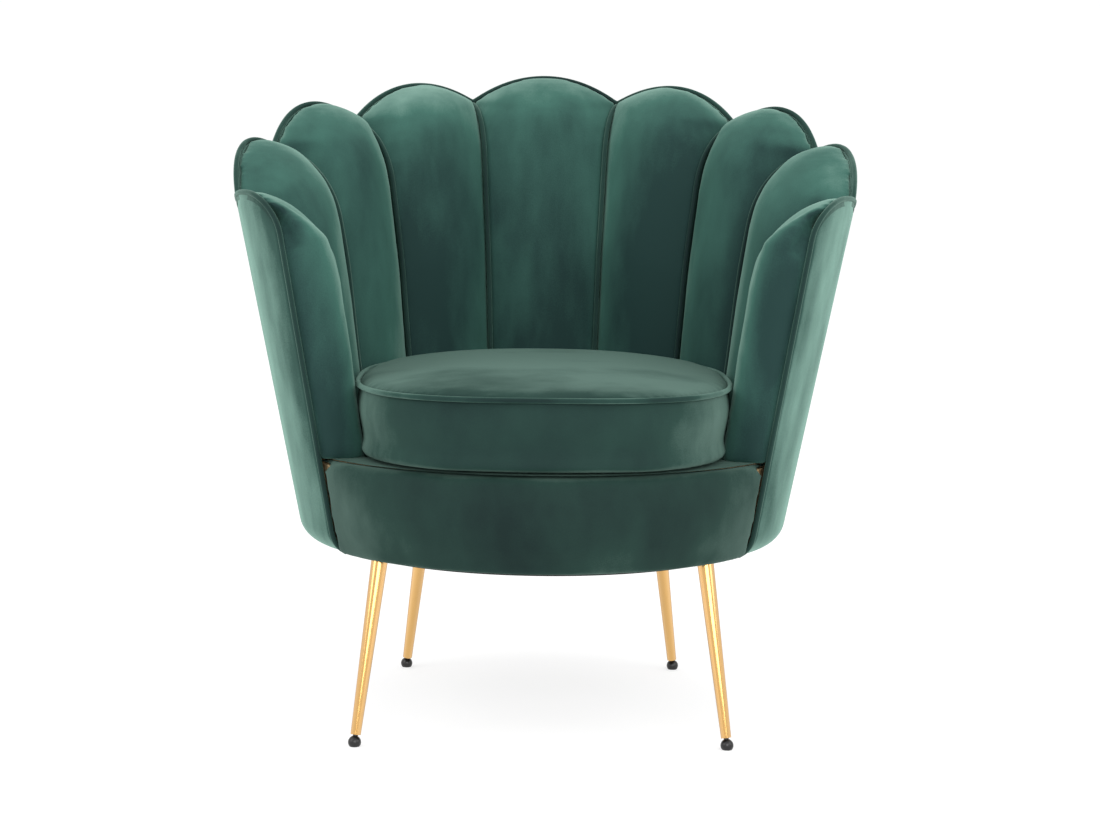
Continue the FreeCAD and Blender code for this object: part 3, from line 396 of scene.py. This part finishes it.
def zinc_steel():
    """Bright zinc-plated steel with the mottled bloom of the plating bath."""
    material, tree = new_material("zinc_plated_steel")
    place = add_node(tree, "ShaderNodeTexCoord")
    bloom = add_node(tree, "ShaderNodeTexNoise", Vector=(place, "Object"), Scale=160.0, Detail=3.0)
    colour = ramp(tree, (bloom, "Fac"), [(0.3, linear("#9b9c98")), (0.7, linear("#c3c5c2"))])
    return shade(material, Base_Color=(colour, "Color"), Metallic=1.0, Roughness=0.34)


def spun_cloth(name, dark, light):
    """Spun-bonded upholsterer's cloth, with the dimples of its bonding rolls 2 mm apart."""
    material, tree = new_material(name)
    place = add_node(tree, "ShaderNodeTexCoord")
    dimples = add_node(
        tree, "ShaderNodeTexVoronoi", {"feature": "SMOOTH_F1"}, Vector=(place, "Object"),
        Scale=500.0, Randomness=0.2)
    colour = ramp(tree, (dimples, "Distance"), [(0.1, linear(dark)), (0.6, linear(light))])
    bump = add_node(tree, "ShaderNodeBump", Strength=0.5, Distance=0.0003, Height=(dimples, "Distance"))
    return shade(
        material, Base_Color=(colour, "Color"), Roughness=0.9, Normal=(bump, "Normal"), Sheen_Weight=0.2)


def paint(piece, material):
    """Gives a piece or a frame node one material all over."""
    slots = piece.data.materials
    slots.clear()
    slots.append(material)
    for polygon in getattr(piece.data, "polygons", ()):
        polygon.material_index = 0


def pick(piece):
    """Only this piece is selected and active."""
    bpy.ops.object.select_all(action="DESELECT")
    piece.select_set(True)
    bpy.context.view_layer.objects.active = piece


def add_piece(name, mesh):
    """A new piece of a mesh."""
    piece = bpy.data.objects.new(name, mesh)
    bpy.context.scene.collection.objects.link(piece)
    return piece


def form_piece(name, form):
    """A new piece of a bmesh form, its faces turned outward."""
    bmesh.ops.recalc_face_normals(form, faces=form.faces)
    mesh = bpy.data.meshes.new(name)
    form.to_mesh(mesh)
    form.free()
    return add_piece(name, mesh)


def get_points(piece):
    """A piece's vertices as an array."""
    mesh = piece.data
    values = np.empty(len(mesh.vertices) * 3)
    mesh.vertices.foreach_get("co", values)
    return values.reshape(-1, 3)


def set_points(piece, points):
    """Moves a piece's vertices to the points."""
    piece.data.vertices.foreach_set("co", points.ravel())
    piece.data.update()


def add_modifier(piece, kind, **settings):
    """Adds a modifier with its settings to the picked piece."""
    bpy.ops.object.modifier_add(type=kind)
    modifier = piece.modifiers[-1]
    for name, value in settings.items():
        setattr(modifier, name, value)
    return modifier


def apply_modifier(piece, kind, **settings):
    """Adds a modifier to the picked piece and applies it."""
    bpy.ops.object.modifier_apply(modifier=add_modifier(piece, kind, **settings).name)


def take(node, name, swell=0.0):
    """A piece that starts as a merged copy of a frame node's mesh, swollen by a cloth's thickness."""
    piece = add_piece(name, NODES[node].data.copy())
    piece.data.materials.clear()
    pick(piece)
    bpy.ops.object.mode_set(mode="EDIT")
    bpy.ops.mesh.select_all(action="SELECT")
    bpy.ops.mesh.remove_doubles(threshold=0.00002)
    if swell:
        bpy.ops.mesh.normals_make_consistent(inside=False)
        bpy.ops.transform.shrink_fatten(value=swell)
    bpy.ops.object.mode_set(mode="OBJECT")
    return piece


def even_out(piece, voxel, rounds):
    """Even cells all over a piece, then its edges softened."""
    coarser = 1
    pick(piece)
    apply_modifier(piece, "REMESH", mode="VOXEL", voxel_size=voxel * coarser, use_smooth_shade=True)
    apply_modifier(piece, "SMOOTH", factor=0.5, iterations=max(rounds // coarser, 1))


def settle(piece, held):
    """Fills a piece like a pad: held is each point's hold, from 0 to 1, and no point moves past the cap."""
    settings = bpy.context.scene.scallop_pads
    group = piece.vertex_groups.new(name="held")
    for index, weight in enumerate(held):
        if weight > 0:
            group.add([index], float(weight), "REPLACE")
    pick(piece)
    cloth = add_modifier(piece, "CLOTH")
    cloth.settings.vertex_group_mass = group.name
    cloth.settings.use_pressure = True
    cloth.settings.uniform_pressure_force = settings.pressure
    cloth.settings.effector_weights.gravity = 0
    cloth.settings.quality = 5
    cloth.settings.tension_stiffness = 20
    cloth.settings.compression_stiffness = 20
    cloth.settings.bending_stiffness = 2
    cloth.point_cache.frame_start = 1
    cloth.point_cache.frame_end = settings.frames
    before = get_points(piece)
    for step in range(1, settings.frames + 1):
        bpy.context.scene.frame_set(step)
    bpy.ops.object.modifier_apply(modifier=cloth.name)
    bpy.context.scene.frame_set(1)
    moved = get_points(piece) - before
    length = np.linalg.norm(moved, axis=1, keepdims=True)
    moved *= np.minimum(1, SETTLE_CAP / np.maximum(length, 1e-9))
    set_points(piece, before + moved)
    piece.vertex_groups.clear()


def refine(piece):
    """One subdivision, applied, and smooth shading."""
    pick(piece)
    apply_modifier(piece, "SUBSURF", levels=1, render_levels=1)
    bpy.ops.object.shade_smooth()


def place_piece(piece, body, nodes, material):
    """The piece rides on a body, stands for its nodes and takes its finish."""
    paint(piece, material)
    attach(piece, body)
    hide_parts(*nodes)


def eased(distance, reach):
    """From 1 at no distance to 0 past the reach, eased at both ends."""
    share = np.clip(distance / reach, 0, 1)
    return 1 - share * share * (3 - 2 * share)


def faded(distance, band):
    """1 up to the band's first value, then eased down to 0 over its second."""
    return eased(distance - band[0], band[1])


def rim_height(index, angles):
    """The rim's height over each plan angle of a petal."""
    left, right = SEAMS[index], SEAMS[index + 1]
    low, high = VALLEYS[index], VALLEYS[index + 1]
    if index in (0, 8):
        turn = np.abs(angles)
        rise = PEAKS[0] - VALLEYS[0]
        behind = (ARM_TOP_ANGLE - turn) / (ARM_TOP_ANGLE - SEAMS[-2])
        ahead = (turn - ARM_TOP_ANGLE) / (ARM_FRONT - ARM_TOP_ANGLE)
        rear = VALLEYS[0] + rise * np.sqrt(np.clip(1 - behind ** 2, 0, 1))
        nose = PEAKS[0] - ARM_CORNER_DROP * (1 - np.sqrt(np.clip(1 - ahead ** 2, 0, 1)))
        return np.where(turn < ARM_TOP_ANGLE, rear, nose)
    u = np.clip((2 * angles - left - right) / (right - left), -1, 1)
    base = (low + high) / 2 + u * (high - low) / 2
    return base + (PEAKS[index] - (low + high) / 2) * (1 - u * u)


def raise_crest(piece, index):
    """Lifts a petal's crest back to its rim, by as much as smoothing took off it."""
    points = get_points(piece)
    angles, _ = tub_place(points)
    points[:, 2] += CREST_LOSS * faded(rim_height(index, angles) - points[:, 2], CREST_BAND)
    set_points(piece, points)


def fill_arm_front(piece, index):
    """Brings an arm pad's front out to the cord on its outer edge, over the shell's bare edge."""
    points = get_points(piece)
    angles, insets = tub_place(points)
    behind = np.radians(ARM_FRONT - np.abs(angles)) * np.hypot(points[:, 0], points[:, 1] - AXIS_Y)
    below = 1 - faded(rim_height(index, angles) - points[:, 2], ARM_FILL_UNDER)
    insets = insets - ARM_FILL * faded(insets, ARM_FILL_INSET) * faded(behind, ARM_FILL_BEHIND) * below
    rise = points[:, 2] - BASE_HEIGHT
    turn = np.radians(angles)
    points[:, 0] = (HALF_WIDTH + SIDE_FLARE * rise - insets) * np.sin(turn)
    points[:, 1] = AXIS_Y + PLAN_CENTRE + (HALF_DEPTH + BACK_FLARE * rise - insets) * np.cos(turn)
    set_points(piece, points)


def petal_hold(piece, index):
    """How firmly each point of a petal is held: by its seams, rim and base, and against the shell."""
    points = get_points(piece)
    angles, insets = tub_place(points)
    reach = np.hypot(points[:, 0], points[:, 1] - AXIS_Y)
    left = np.radians(angles - SEAMS[index]) * reach
    right = np.radians(SEAMS[index + 1] - angles) * reach
    if index == 0:
        left = left + ARM_SIDE_FREE
    if index == 8:
        right = right + ARM_SIDE_FREE
    top = rim_height(index, angles) - points[:, 2]
    free = np.minimum(np.minimum(left, right), np.minimum(top, points[:, 2] - PETAL_BASE))
    return np.maximum(faded(free, SEAM_HOLD), faded(insets, SHELL_HOLD))


class SCALLOP_OT_petals(bpy.types.Operator):
    """Nine padded velvet petals of the back and arms"""
    bl_idname = "scallop.petals"
    bl_label = "Petals"

    def execute(self, context):
        # Painted light: the petals' velvet made lighter than the other pieces, and darker at the seat as
        # painted shade, partly the pile leaning
        material = velvet("cut_pile_velvet_petals", painted_light_scale=(1.3, 1.15, 0.75), seat_shade_and_lean=(-0.2, 0.0))
        settings = context.scene.scallop_pads
        for index in range(9):
            number = index + 1
            piece = take("petal_pad_%d" % number, "velvet_petal_%d" % number, PETAL_SWELL)
            even_out(piece, settings.voxel, 6)
            raise_crest(piece, index)
            if index in (0, 8):
                fill_arm_front(piece, index)
            settle(piece, petal_hold(piece, index))
            refine(piece)
            place_piece(
                piece, "frame", ["petal_pad_%d" % number, "petal_cover_%d" % number], material)
        return {"FINISHED"}


def outer_panel(name, index):
    """A closed, crowned outer panel from the underside to the rim, its edges tucked into the seams."""
    left, right = SEAMS[index], SEAMS[index + 1]
    gap = math.degrees(PANEL_GAP / PANEL_RADIUS)
    front = math.degrees(PANEL_FRONT_GAP / PANEL_RADIUS)
    first = left + (front if index == 0 else gap)
    last = right - (front if index == 8 else gap)
    turns = first + (last - first) * (1 - np.cos(np.linspace(0, math.pi, PANEL_COLUMNS))) / 2
    tops = rim_height(index, turns)
    levels = 1 - np.cos(np.linspace(0, math.pi / 2, PANEL_ROWS))
    form = bmesh.new()
    skins = []
    for inner in (False, True):
        grid = []
        for turn, top in zip(turns, tops):
            across = 2 * (turn - first) / (last - first) - 1
            aside = min(turn - first, last - turn) * math.radians(1) * PANEL_RADIUS
            column = []
            for share in levels:
                height = BASE_HEIGHT + (top - BASE_HEIGHT) * share
                tuck = PANEL_TUCK * max(
                    float(eased(aside, PANEL_SIDE_TUCK)), float(eased(top - height, PANEL_TOP_TUCK)))
                inset = PANEL_THICKNESS if inner else PANEL_CROWN * across * across + tuck
                column.append(form.verts.new(tub_point(turn, height, inset + underside_inset(height))))
            grid.append(column)
        skins.append(grid)
    outer, inner = skins
    columns, rows = len(outer), len(outer[0])
    for grid in skins:
        for a in range(columns - 1):
            for b in range(rows - 1):
                form.faces.new((grid[a][b], grid[a + 1][b], grid[a + 1][b + 1], grid[a][b + 1]))
    rim = [(a, 0) for a in range(columns)] + [(columns - 1, b) for b in range(1, rows)]
    rim += [(a, rows - 1) for a in range(columns - 2, -1, -1)] + [(0, b) for b in range(rows - 2, 0, -1)]
    for (a, b), (c, d) in zip(rim, rim[1:] + rim[:1]):
        form.faces.new((outer[a][b], outer[c][d], inner[c][d], inner[a][b]))
    return form_piece(name, form)


class SCALLOP_OT_outer_panels(bpy.types.Operator):
    """Nine plain-seamed velvet panels of the outer back"""
    bl_idname = "scallop.outer_panels"
    bl_label = "Outer panels"

    def execute(self, context):
        # Painted light and shade: the outer panels' velvet made darker than the petals', its tips lighter
        material = velvet("cut_pile_velvet_outer", shift=0.02, painted_light_scale=(0.9, 0.62, 0.82))
        for number in range(1, 10):
            piece = outer_panel("velvet_outer_panel_%d" % number, number - 1)
            pick(piece)
            bpy.ops.object.shade_smooth_by_angle(angle=math.radians(40))
            place_piece(piece, "frame", ["back_panel_%d" % number], material)
        return {"FINISHED"}


def flat_cloth(name, outline, height, thickness):
    """A flat closed piece of cloth of an outline's form."""
    form = bmesh.new()
    face = form.faces.new([form.verts.new((x, y, height)) for x, y in outline])
    lifted = bmesh.ops.extrude_face_region(form, geom=[face])["geom"]
    corners = [corner for corner in lifted if isinstance(corner, bmesh.types.BMVert)]
    bmesh.ops.translate(form, vec=(0, 0, thickness), verts=corners)
    return form_piece(name, form)


class SCALLOP_OT_deck_cloths(bpy.types.Operator):
    """The deck's felt, the decking cloth over it, made dark as painted shade, and the dust cloth underneath
    """
    bl_idname = "scallop.deck_cloths"
    bl_label = "Deck cloths"

    def execute(self, context):
        felt = take("seat_deck", "felt_seat_deck")
        pick(felt)
        apply_modifier(felt, "BEVEL", width=FELT_ROUND, segments=3, limit_method="ANGLE")
        bpy.ops.object.shade_smooth_by_angle(angle=math.radians(30))
        place_piece(
            felt, "frame", ["seat_deck"], spun_cloth("needled_deck_felt", "#2c2d2e", "#47484a"))

        turns = np.linspace(-DECKING_END, DECKING_END, 65)
        outline = [
            tub_point(turn, PETAL_BASE, wall(turn, PETAL_BASE) - DECKING_TUCK)[:2] for turn in turns]
        half, side = DECKING_CORNER
        front = AXIS_Y - DECKING_REACH
        middle = (half ** 2 + side ** 2 - front ** 2) / (2 * (side - front))
        for x in np.linspace(half, -half, 41):
            outline.append((x, middle - math.sqrt((middle - front) ** 2 - x ** 2)))
        decking = flat_cloth("decking_cloth", outline, PETAL_BASE + DECKING_LIFT, DECKING_THICKNESS)
        # Painted shade: a dark copy of the velvet laid where the deck is seen in the shade under the cushion
        place_piece(
            decking, "frame", [], velvet("cut_pile_velvet_decking", painted_light_scale=(0.5, 0.4, 0.3)))

        dust = take("dust_cover", "spun_dust_cloth")
        bottom = get_points(dust)
        bottom = bottom[bottom[:, 2] < bottom[:, 2].mean()]
        place_piece(
            dust, "frame", ["dust_cover"],
            spun_cloth("spun_bonded_dust_cloth", "#0d0d0e", "#232325"))
        return {"FINISHED"}


class SCALLOP_OT_front_rail(bpy.types.Operator):
    """The bowed, padded velvet rail under the seat's front"""
    bl_idname = "scallop.front_rail"
    bl_label = "Front rail"

    def execute(self, context):
        # Painted shade: the rail's velvet made darker than the petals'
        material = velvet("cut_pile_velvet_rail", nap=(1, 1, 0.6), painted_light_scale=(0.6, 0.36, 0.28))
        piece = take("front_rail_pad", "velvet_front_rail", COVER_SWELL)
        even_out(piece, RAIL_CELL, 7)
        refine(piece)
        place_piece(piece, "frame", ["front_rail_pad", "front_rail_cover"], material)
        return {"FINISHED"}


def fill_out(piece):
    """Fills the cushion's lower corner and its sides, as soft foam spreads under its own weight."""
    points = get_points(piece)
    x, y, z = points[:, 0], points[:, 1] - AXIS_Y, points[:, 2]
    power = np.where(y > 0, REAR_POWER, FRONT_POWER)
    along = np.where(y > 0, CUSHION_REAR, CUSHION_FRONT)
    outward = (np.abs(x / CUSHION_HALF_WIDTH) ** power + np.abs(y / along) ** power) ** (1 / power)
    edge = 1 - eased(outward - SPREAD_FROM, 0.3)
    corner = CORNER_FILL * eased(z - CUSHION_BOTTOM, CORNER_RISE) + SIDE_FILL
    reach = np.maximum(np.hypot(x, y), 0.01)
    under_seam = z < CUSHION_SEAM + 0.004
    points[:, 0] += x / reach * corner * edge * under_seam
    points[:, 1] += y / reach * corner * edge * under_seam
    set_points(piece, points)


class SCALLOP_OT_seat_cushion(bpy.types.Operator):
    """The loose crowned seat cushion"""
    bl_idname = "scallop.seat_cushion"
    bl_label = "Seat cushion"

    def execute(self, context):
        # Painted shade: the cushion's velvet made darker than the petals', above all where its top is seen
        # aslant
        material = velvet(
            "cut_pile_velvet_cushion", nap=(0.7, 1.1, 0.6), shift=0.02, painted_light_scale=(0.75, 0.42, 0.36))
        piece = take("cushion_foam", "velvet_seat_cushion", COVER_SWELL)
        even_out(piece, CUSHION_CELL, 5)
        fill_out(piece)
        heights = get_points(piece)[:, 2]
        settle(piece, np.maximum(
            faded(np.abs(heights - CUSHION_SEAM), CUSHION_SEAM_HOLD),
            faded(heights - PETAL_BASE, CUSHION_BASE_HOLD)))
        refine(piece)
        place_piece(piece, "seat_cushion", ["cushion_foam", "cushion_cover"], material)
        return {"FINISHED"}


def cord_piece(name, points, closed, body, nodes, material):
    """A velvet-covered cord along points, round in section."""
    bpy.ops.object.select_all(action="DESELECT")
    bpy.ops.curve.primitive_nurbs_path_add(location=(0, 0, 0))
    line = bpy.context.active_object
    line.name = name
    curve = line.data
    curve.splines.clear()
    spline = curve.splines.new("NURBS")
    spline.points.add(len(points) - 1)
    for point, at in zip(spline.points, points):
        point.co = (*at, 1)
    spline.order_u = 4
    spline.use_endpoint_u = not closed
    spline.use_cyclic_u = closed
    spline.resolution_u = 3
    curve.bevel_depth = CORD_RADIUS
    curve.bevel_resolution = 3
    curve.use_fill_caps = True
    pick(line)
    bpy.ops.object.convert(target="MESH")
    line.data.name = name
    bpy.ops.object.shade_smooth()
    place_piece(line, body, nodes, material)
    return line


def add_flange(cord, points, inner):
    """Adds the cord's flange: the doubled velvet strip that is sewn between the two covers behind it."""
    form = bmesh.new()
    rows = []
    earlier, later = [points[0]] + points[:-1], points[1:] + [points[-1]]
    for before, point, deep, after in zip(earlier, points, inner, later):
        across = (after - before).cross(deep - point).normalized() * FLANGE_HALF
        corners = (point - across, point + across, deep + across, deep - across)
        rows.append([form.verts.new(corner) for corner in corners])
    for first, second in zip(rows, rows[1:]):
        for step in range(4):
            following = (step + 1) % 4
            form.faces.new((first[step], first[following], second[following], second[step]))
    form.faces.new(rows[0][::-1])
    form.faces.new(rows[-1])
    strip = form_piece(cord.name + "_flange", form)
    strip.data.materials.append(cord.data.materials[0])
    pick(cord)
    strip.select_set(True)
    bpy.ops.object.join()


def arm_corner(turn, inset):
    """A point of the rim cord round an arm's top front corner."""
    angle = ARM_TOP_ANGLE + (ARM_FRONT - ARM_TOP_ANGLE) * math.cos(math.radians(turn))
    corner = PEAKS[0] - ARM_CORNER_DROP
    height = corner + (ARM_CORNER_DROP + RIM_CORD_LIFT) * math.sin(math.radians(turn))
    return tub_point(angle, height, inset)


def rim_points():
    """The rim cord's line: up the right arm's front, along the scallops and down the left arm's front."""
    inset = PANEL_THICKNESS / 2
    half = [tub_point(ARM_FRONT, z, inset + underside_inset(z)) for z in RIM_FRONT_HEIGHTS]
    half += [arm_corner(turn, inset) for turn in range(0, 91, 9)]
    for angle in RIM_ARM_ANGLES:
        height = float(rim_height(8, np.array([angle]))[0])
        half.append(tub_point(angle, height + RIM_CORD_LIFT, inset))
    for index in (7, 6, 5, 4):
        left, right = SEAMS[index], SEAMS[index + 1]
        bump = PEAKS[index] - (VALLEYS[index] + VALLEYS[index + 1]) / 2
        width = (tub_point(right, 0.2, 0) - tub_point(left, 0.2, 0)).length / 2
        if index == RIM_MIDDLE_PETAL:
            steps = [VALLEY_END] + [u / 10 for u in range(9, -1, -1)]
        else:
            steps = [VALLEY_END] + [u / 10 for u in range(9, -10, -1)] + [-VALLEY_END]
        for u in steps:
            angle = (left + right) / 2 + u * (right - left) / 2
            rise = math.sqrt(1 + (2 * bump * u / width) ** 2)
            height = float(rim_height(index, np.array([angle]))[0])
            half.append(tub_point(angle, height + RIM_CORD_LIFT * rise, inset))
    mirrored = [Vector((-p.x, p.y, p.z)) for p in reversed(half[:-1])]
    return half + mirrored


def seam_points(angle, valley):
    """The cord's line in a seam: up from the seat, then rolled back over the rim."""
    full = wall(angle, valley)
    fall = ROLL_SHARE * full
    start = valley - fall
    heights = list(np.arange(PETAL_BASE + SEAM_START, start - 2 * ROLL_GAP, SEAM_STEP))
    heights.append(start - ROLL_GAP)
    points = [tub_point(angle, z, wall(angle, z) + CORD_PROUD) for z in heights]
    for turn in range(6, 87, 8):
        sine, cosine = math.sin(math.radians(turn)), math.cos(math.radians(turn))
        points.append(tub_point(angle, start + (fall + CORD_PROUD) * sine, (full + CORD_PROUD) * cosine))
    return points


class SCALLOP_OT_cords(bpy.types.Operator):
    """Velvet-covered cords in the seams, round the rim and round the cushion"""
    bl_idname = "scallop.cords"
    bl_label = "Cords"

    @staticmethod
    def behind(point):
        """The flange's inner edge, towards the outer face."""
        angle, inset = tub_place(np.array([point]))
        return tub_point(
            float(angle[0]), point.z - FLANGE_DROP, max(float(inset[0]) - FLANGE_DEPTH, FLANGE_LEAST_INSET))

    @staticmethod
    def ring():
        """The cushion cord's closed line round the seam."""
        low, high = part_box("cushion_piping")
        half_width = (high[0] - low[0]) / 2 - CORD_RADIUS
        front = AXIS_Y - low[1] - CORD_RADIUS
        rear = high[1] - AXIS_Y - CORD_RADIUS
        points = []
        for step in range(RING_STEPS):
            turn = 2 * math.pi * step / RING_STEPS
            cosine, sine = math.cos(turn), math.sin(turn)
            power = 2 / (REAR_POWER if sine > 0 else FRONT_POWER)
            along = rear if sine > 0 else front
            points.append(Vector((
                half_width * math.copysign(abs(cosine) ** power, cosine),
                AXIS_Y + along * math.copysign(abs(sine) ** power, sine), CUSHION_SEAM)))
        return points

    def execute(self, context):
        # Painted shade: the cords' velvet made darker than the petals'
        material = velvet("cut_pile_velvet_cord", shift=-0.02, painted_light_scale=(0.7, 0.5, 0.45))
        for number, (angle, valley) in enumerate(zip(SEAMS[1:-1], VALLEYS[1:-1]), 1):
            points = seam_points(angle, valley)
            cord = cord_piece(
                "seam_cord_%d" % number, points, False, "frame", ["seam_piping_%d" % number], material)
            add_flange(cord, points, [self.behind(point) for point in points])
        points = rim_points()
        cord = cord_piece("rim_cord", points, False, "frame", ["rim_piping"], material)
        top = [point for point in points if point.z > RIM_FLANGE_FROM]
        add_flange(cord, top, [point - Vector((0, 0, RIM_FLANGE_DEPTH)) for point in top])
        cord_piece("cushion_cord", self.ring(), True, "seat_cushion", ["cushion_piping"], material)
        return {"FINISHED"}


class SCALLOP_OT_metal_and_frame(bpy.types.Operator):
    """Finishes of the legs, the glides and the frame inside"""
    bl_idname = "scallop.metal_and_frame"
    bl_label = "Legs and frame"

    def execute(self, context):
        finishes = (
            (plated_gold(), ["leg_" + word for word in LEGS]),
            (moulded("moulded_black_nylon", "#101011", 0.32, 0.0008), ["glide_" + word for word in LEGS]),
            (moulded("moulded_natural_nylon", "#d9d6cc", 0.45, 0.001), ["spring_clips"]),
            (sawn_wood("birch_plywood", "#cdb48a", "#a98d63", (12, 12, 160)),
             ["back_shell", "base_board", "seat_board", "front_rail_board"]),
            (sawn_wood("sawn_pine", "#d2ab74", "#a9824f", (14, 120, 120)), ["frame_blocks"]),
            (zinc_steel(), ["seat_springs"]),
            (moulded("black_lacquered_steel", "#151516", 0.4, 0.002), ["leg_plates", "leg_plate_screws"]),
        )
        for material, names in finishes:
            for name in names:
                paint(NODES[name], material)
        return {"FINISHED"}


def soft_light(name, place, size, power):
    """A large soft white lamp aimed at the chair."""
    bpy.ops.object.light_add(type="AREA", location=place)
    lamp = bpy.context.active_object
    lamp.name = name
    lamp.data.shape = "RECTANGLE"
    lamp.data.size, lamp.data.size_y = size
    lamp.data.energy = power
    lamp.rotation_euler = (Vector(SOFTBOX_AIM) - Vector(place)).to_track_quat("-Z", "Y").to_euler()


class SCALLOP_OT_stage(bpy.types.Operator):
    """Pale floor, soft light and the camera"""
    bl_idname = "scallop.stage"
    bl_label = "Stage"

    def execute(self, context):
        scene = context.scene
        settings = scene.scallop_stage
        bpy.ops.object.select_all(action="DESELECT")
        bpy.ops.mesh.primitive_plane_add(size=30, location=(0, 0, -0.0004))
        floor = bpy.context.active_object
        floor.name = "floor"
        material, _ = new_material("pale_floor")
        floor.data.materials.append(shade(
            material, Base_Color=(0.42, 0.42, 0.42, 1), Roughness=1.0, Specular_IOR_Level=0.0,
            Emission_Color=linear("#ffffff"), Emission_Strength=0.66))

        world = bpy.data.worlds.new("studio")
        scene.world = world
        world.use_nodes = True
        background = world.node_tree.nodes["Background"]
        background.inputs["Color"].default_value = linear("#ffffff")
        background.inputs["Strength"].default_value = 1.02

        for softbox in SOFTBOXES:
            soft_light(*softbox)

        turned = Matrix.Rotation(-CAMERA_YAW, 3, "Z") @ Vector((CAMERA_ASIDE, -settings.distance, 0))
        camera = bpy.data.cameras.new("camera")
        holder = bpy.data.objects.new("camera", camera)
        scene.collection.objects.link(holder)
        camera.sensor_width = 36
        camera.lens = settings.lens
        camera.clip_end = 100
        look = (
            Matrix.Rotation(-CAMERA_YAW, 4, "Z") @ Matrix.Rotation(math.pi / 2 - settings.pitch, 4, "X")
            @ Matrix.Rotation(CAMERA_ROLL, 4, "Z"))
        holder.matrix_world = Matrix.Translation((turned.x, AXIS_Y + turned.y, settings.height)) @ look
        scene.camera = holder
        scene.view_settings.view_transform = "Standard"
        return {"FINISHED"}


class SCALLOP_PT_panel(bpy.types.Panel):
    """The chair's pieces in the sidebar"""
    bl_idname = "SCALLOP_PT_panel"
    bl_label = "Scallop back chair"
    bl_space_type = "VIEW_3D"
    bl_region_type = "UI"
    bl_category = "Chair"

    def draw(self, context):
        for group in (context.scene.scallop_velvet, context.scene.scallop_pads, context.scene.scallop_stage):
            for name in group.__annotations__:
                self.layout.prop(group, name)
        for operator in OPERATORS:
            self.layout.operator(operator.bl_idname)


OPERATORS = (
    SCALLOP_OT_stage, SCALLOP_OT_petals, SCALLOP_OT_outer_panels, SCALLOP_OT_deck_cloths,
    SCALLOP_OT_front_rail, SCALLOP_OT_seat_cushion, SCALLOP_OT_cords, SCALLOP_OT_metal_and_frame)
GROUPS = (VelvetSettings, PadSettings, StageSettings)


def register():
    for kind in (*GROUPS, *OPERATORS, SCALLOP_PT_panel):
        bpy.utils.register_class(kind)
    bpy.types.Scene.scallop_velvet = PointerProperty(type=VelvetSettings)
    bpy.types.Scene.scallop_pads = PointerProperty(type=PadSettings)
    bpy.types.Scene.scallop_stage = PointerProperty(type=StageSettings)


def unregister():
    for name in ("scallop_velvet", "scallop_pads", "scallop_stage"):
        delattr(bpy.types.Scene, name)
    for kind in (SCALLOP_PT_panel, *reversed(OPERATORS), *reversed(GROUPS)):
        bpy.utils.unregister_class(kind)


def main():
    register()
    bpy.ops.scallop.stage()
    bpy.ops.scallop.petals()
    bpy.ops.scallop.outer_panels()
    bpy.ops.scallop.deck_cloths()
    bpy.ops.scallop.front_rail()
    bpy.ops.scallop.seat_cushion()
    bpy.ops.scallop.cords()
    bpy.ops.scallop.metal_and_frame()
    bpy.ops.object.select_all(action="DESELECT")


if __name__ == "__main__":
    main()
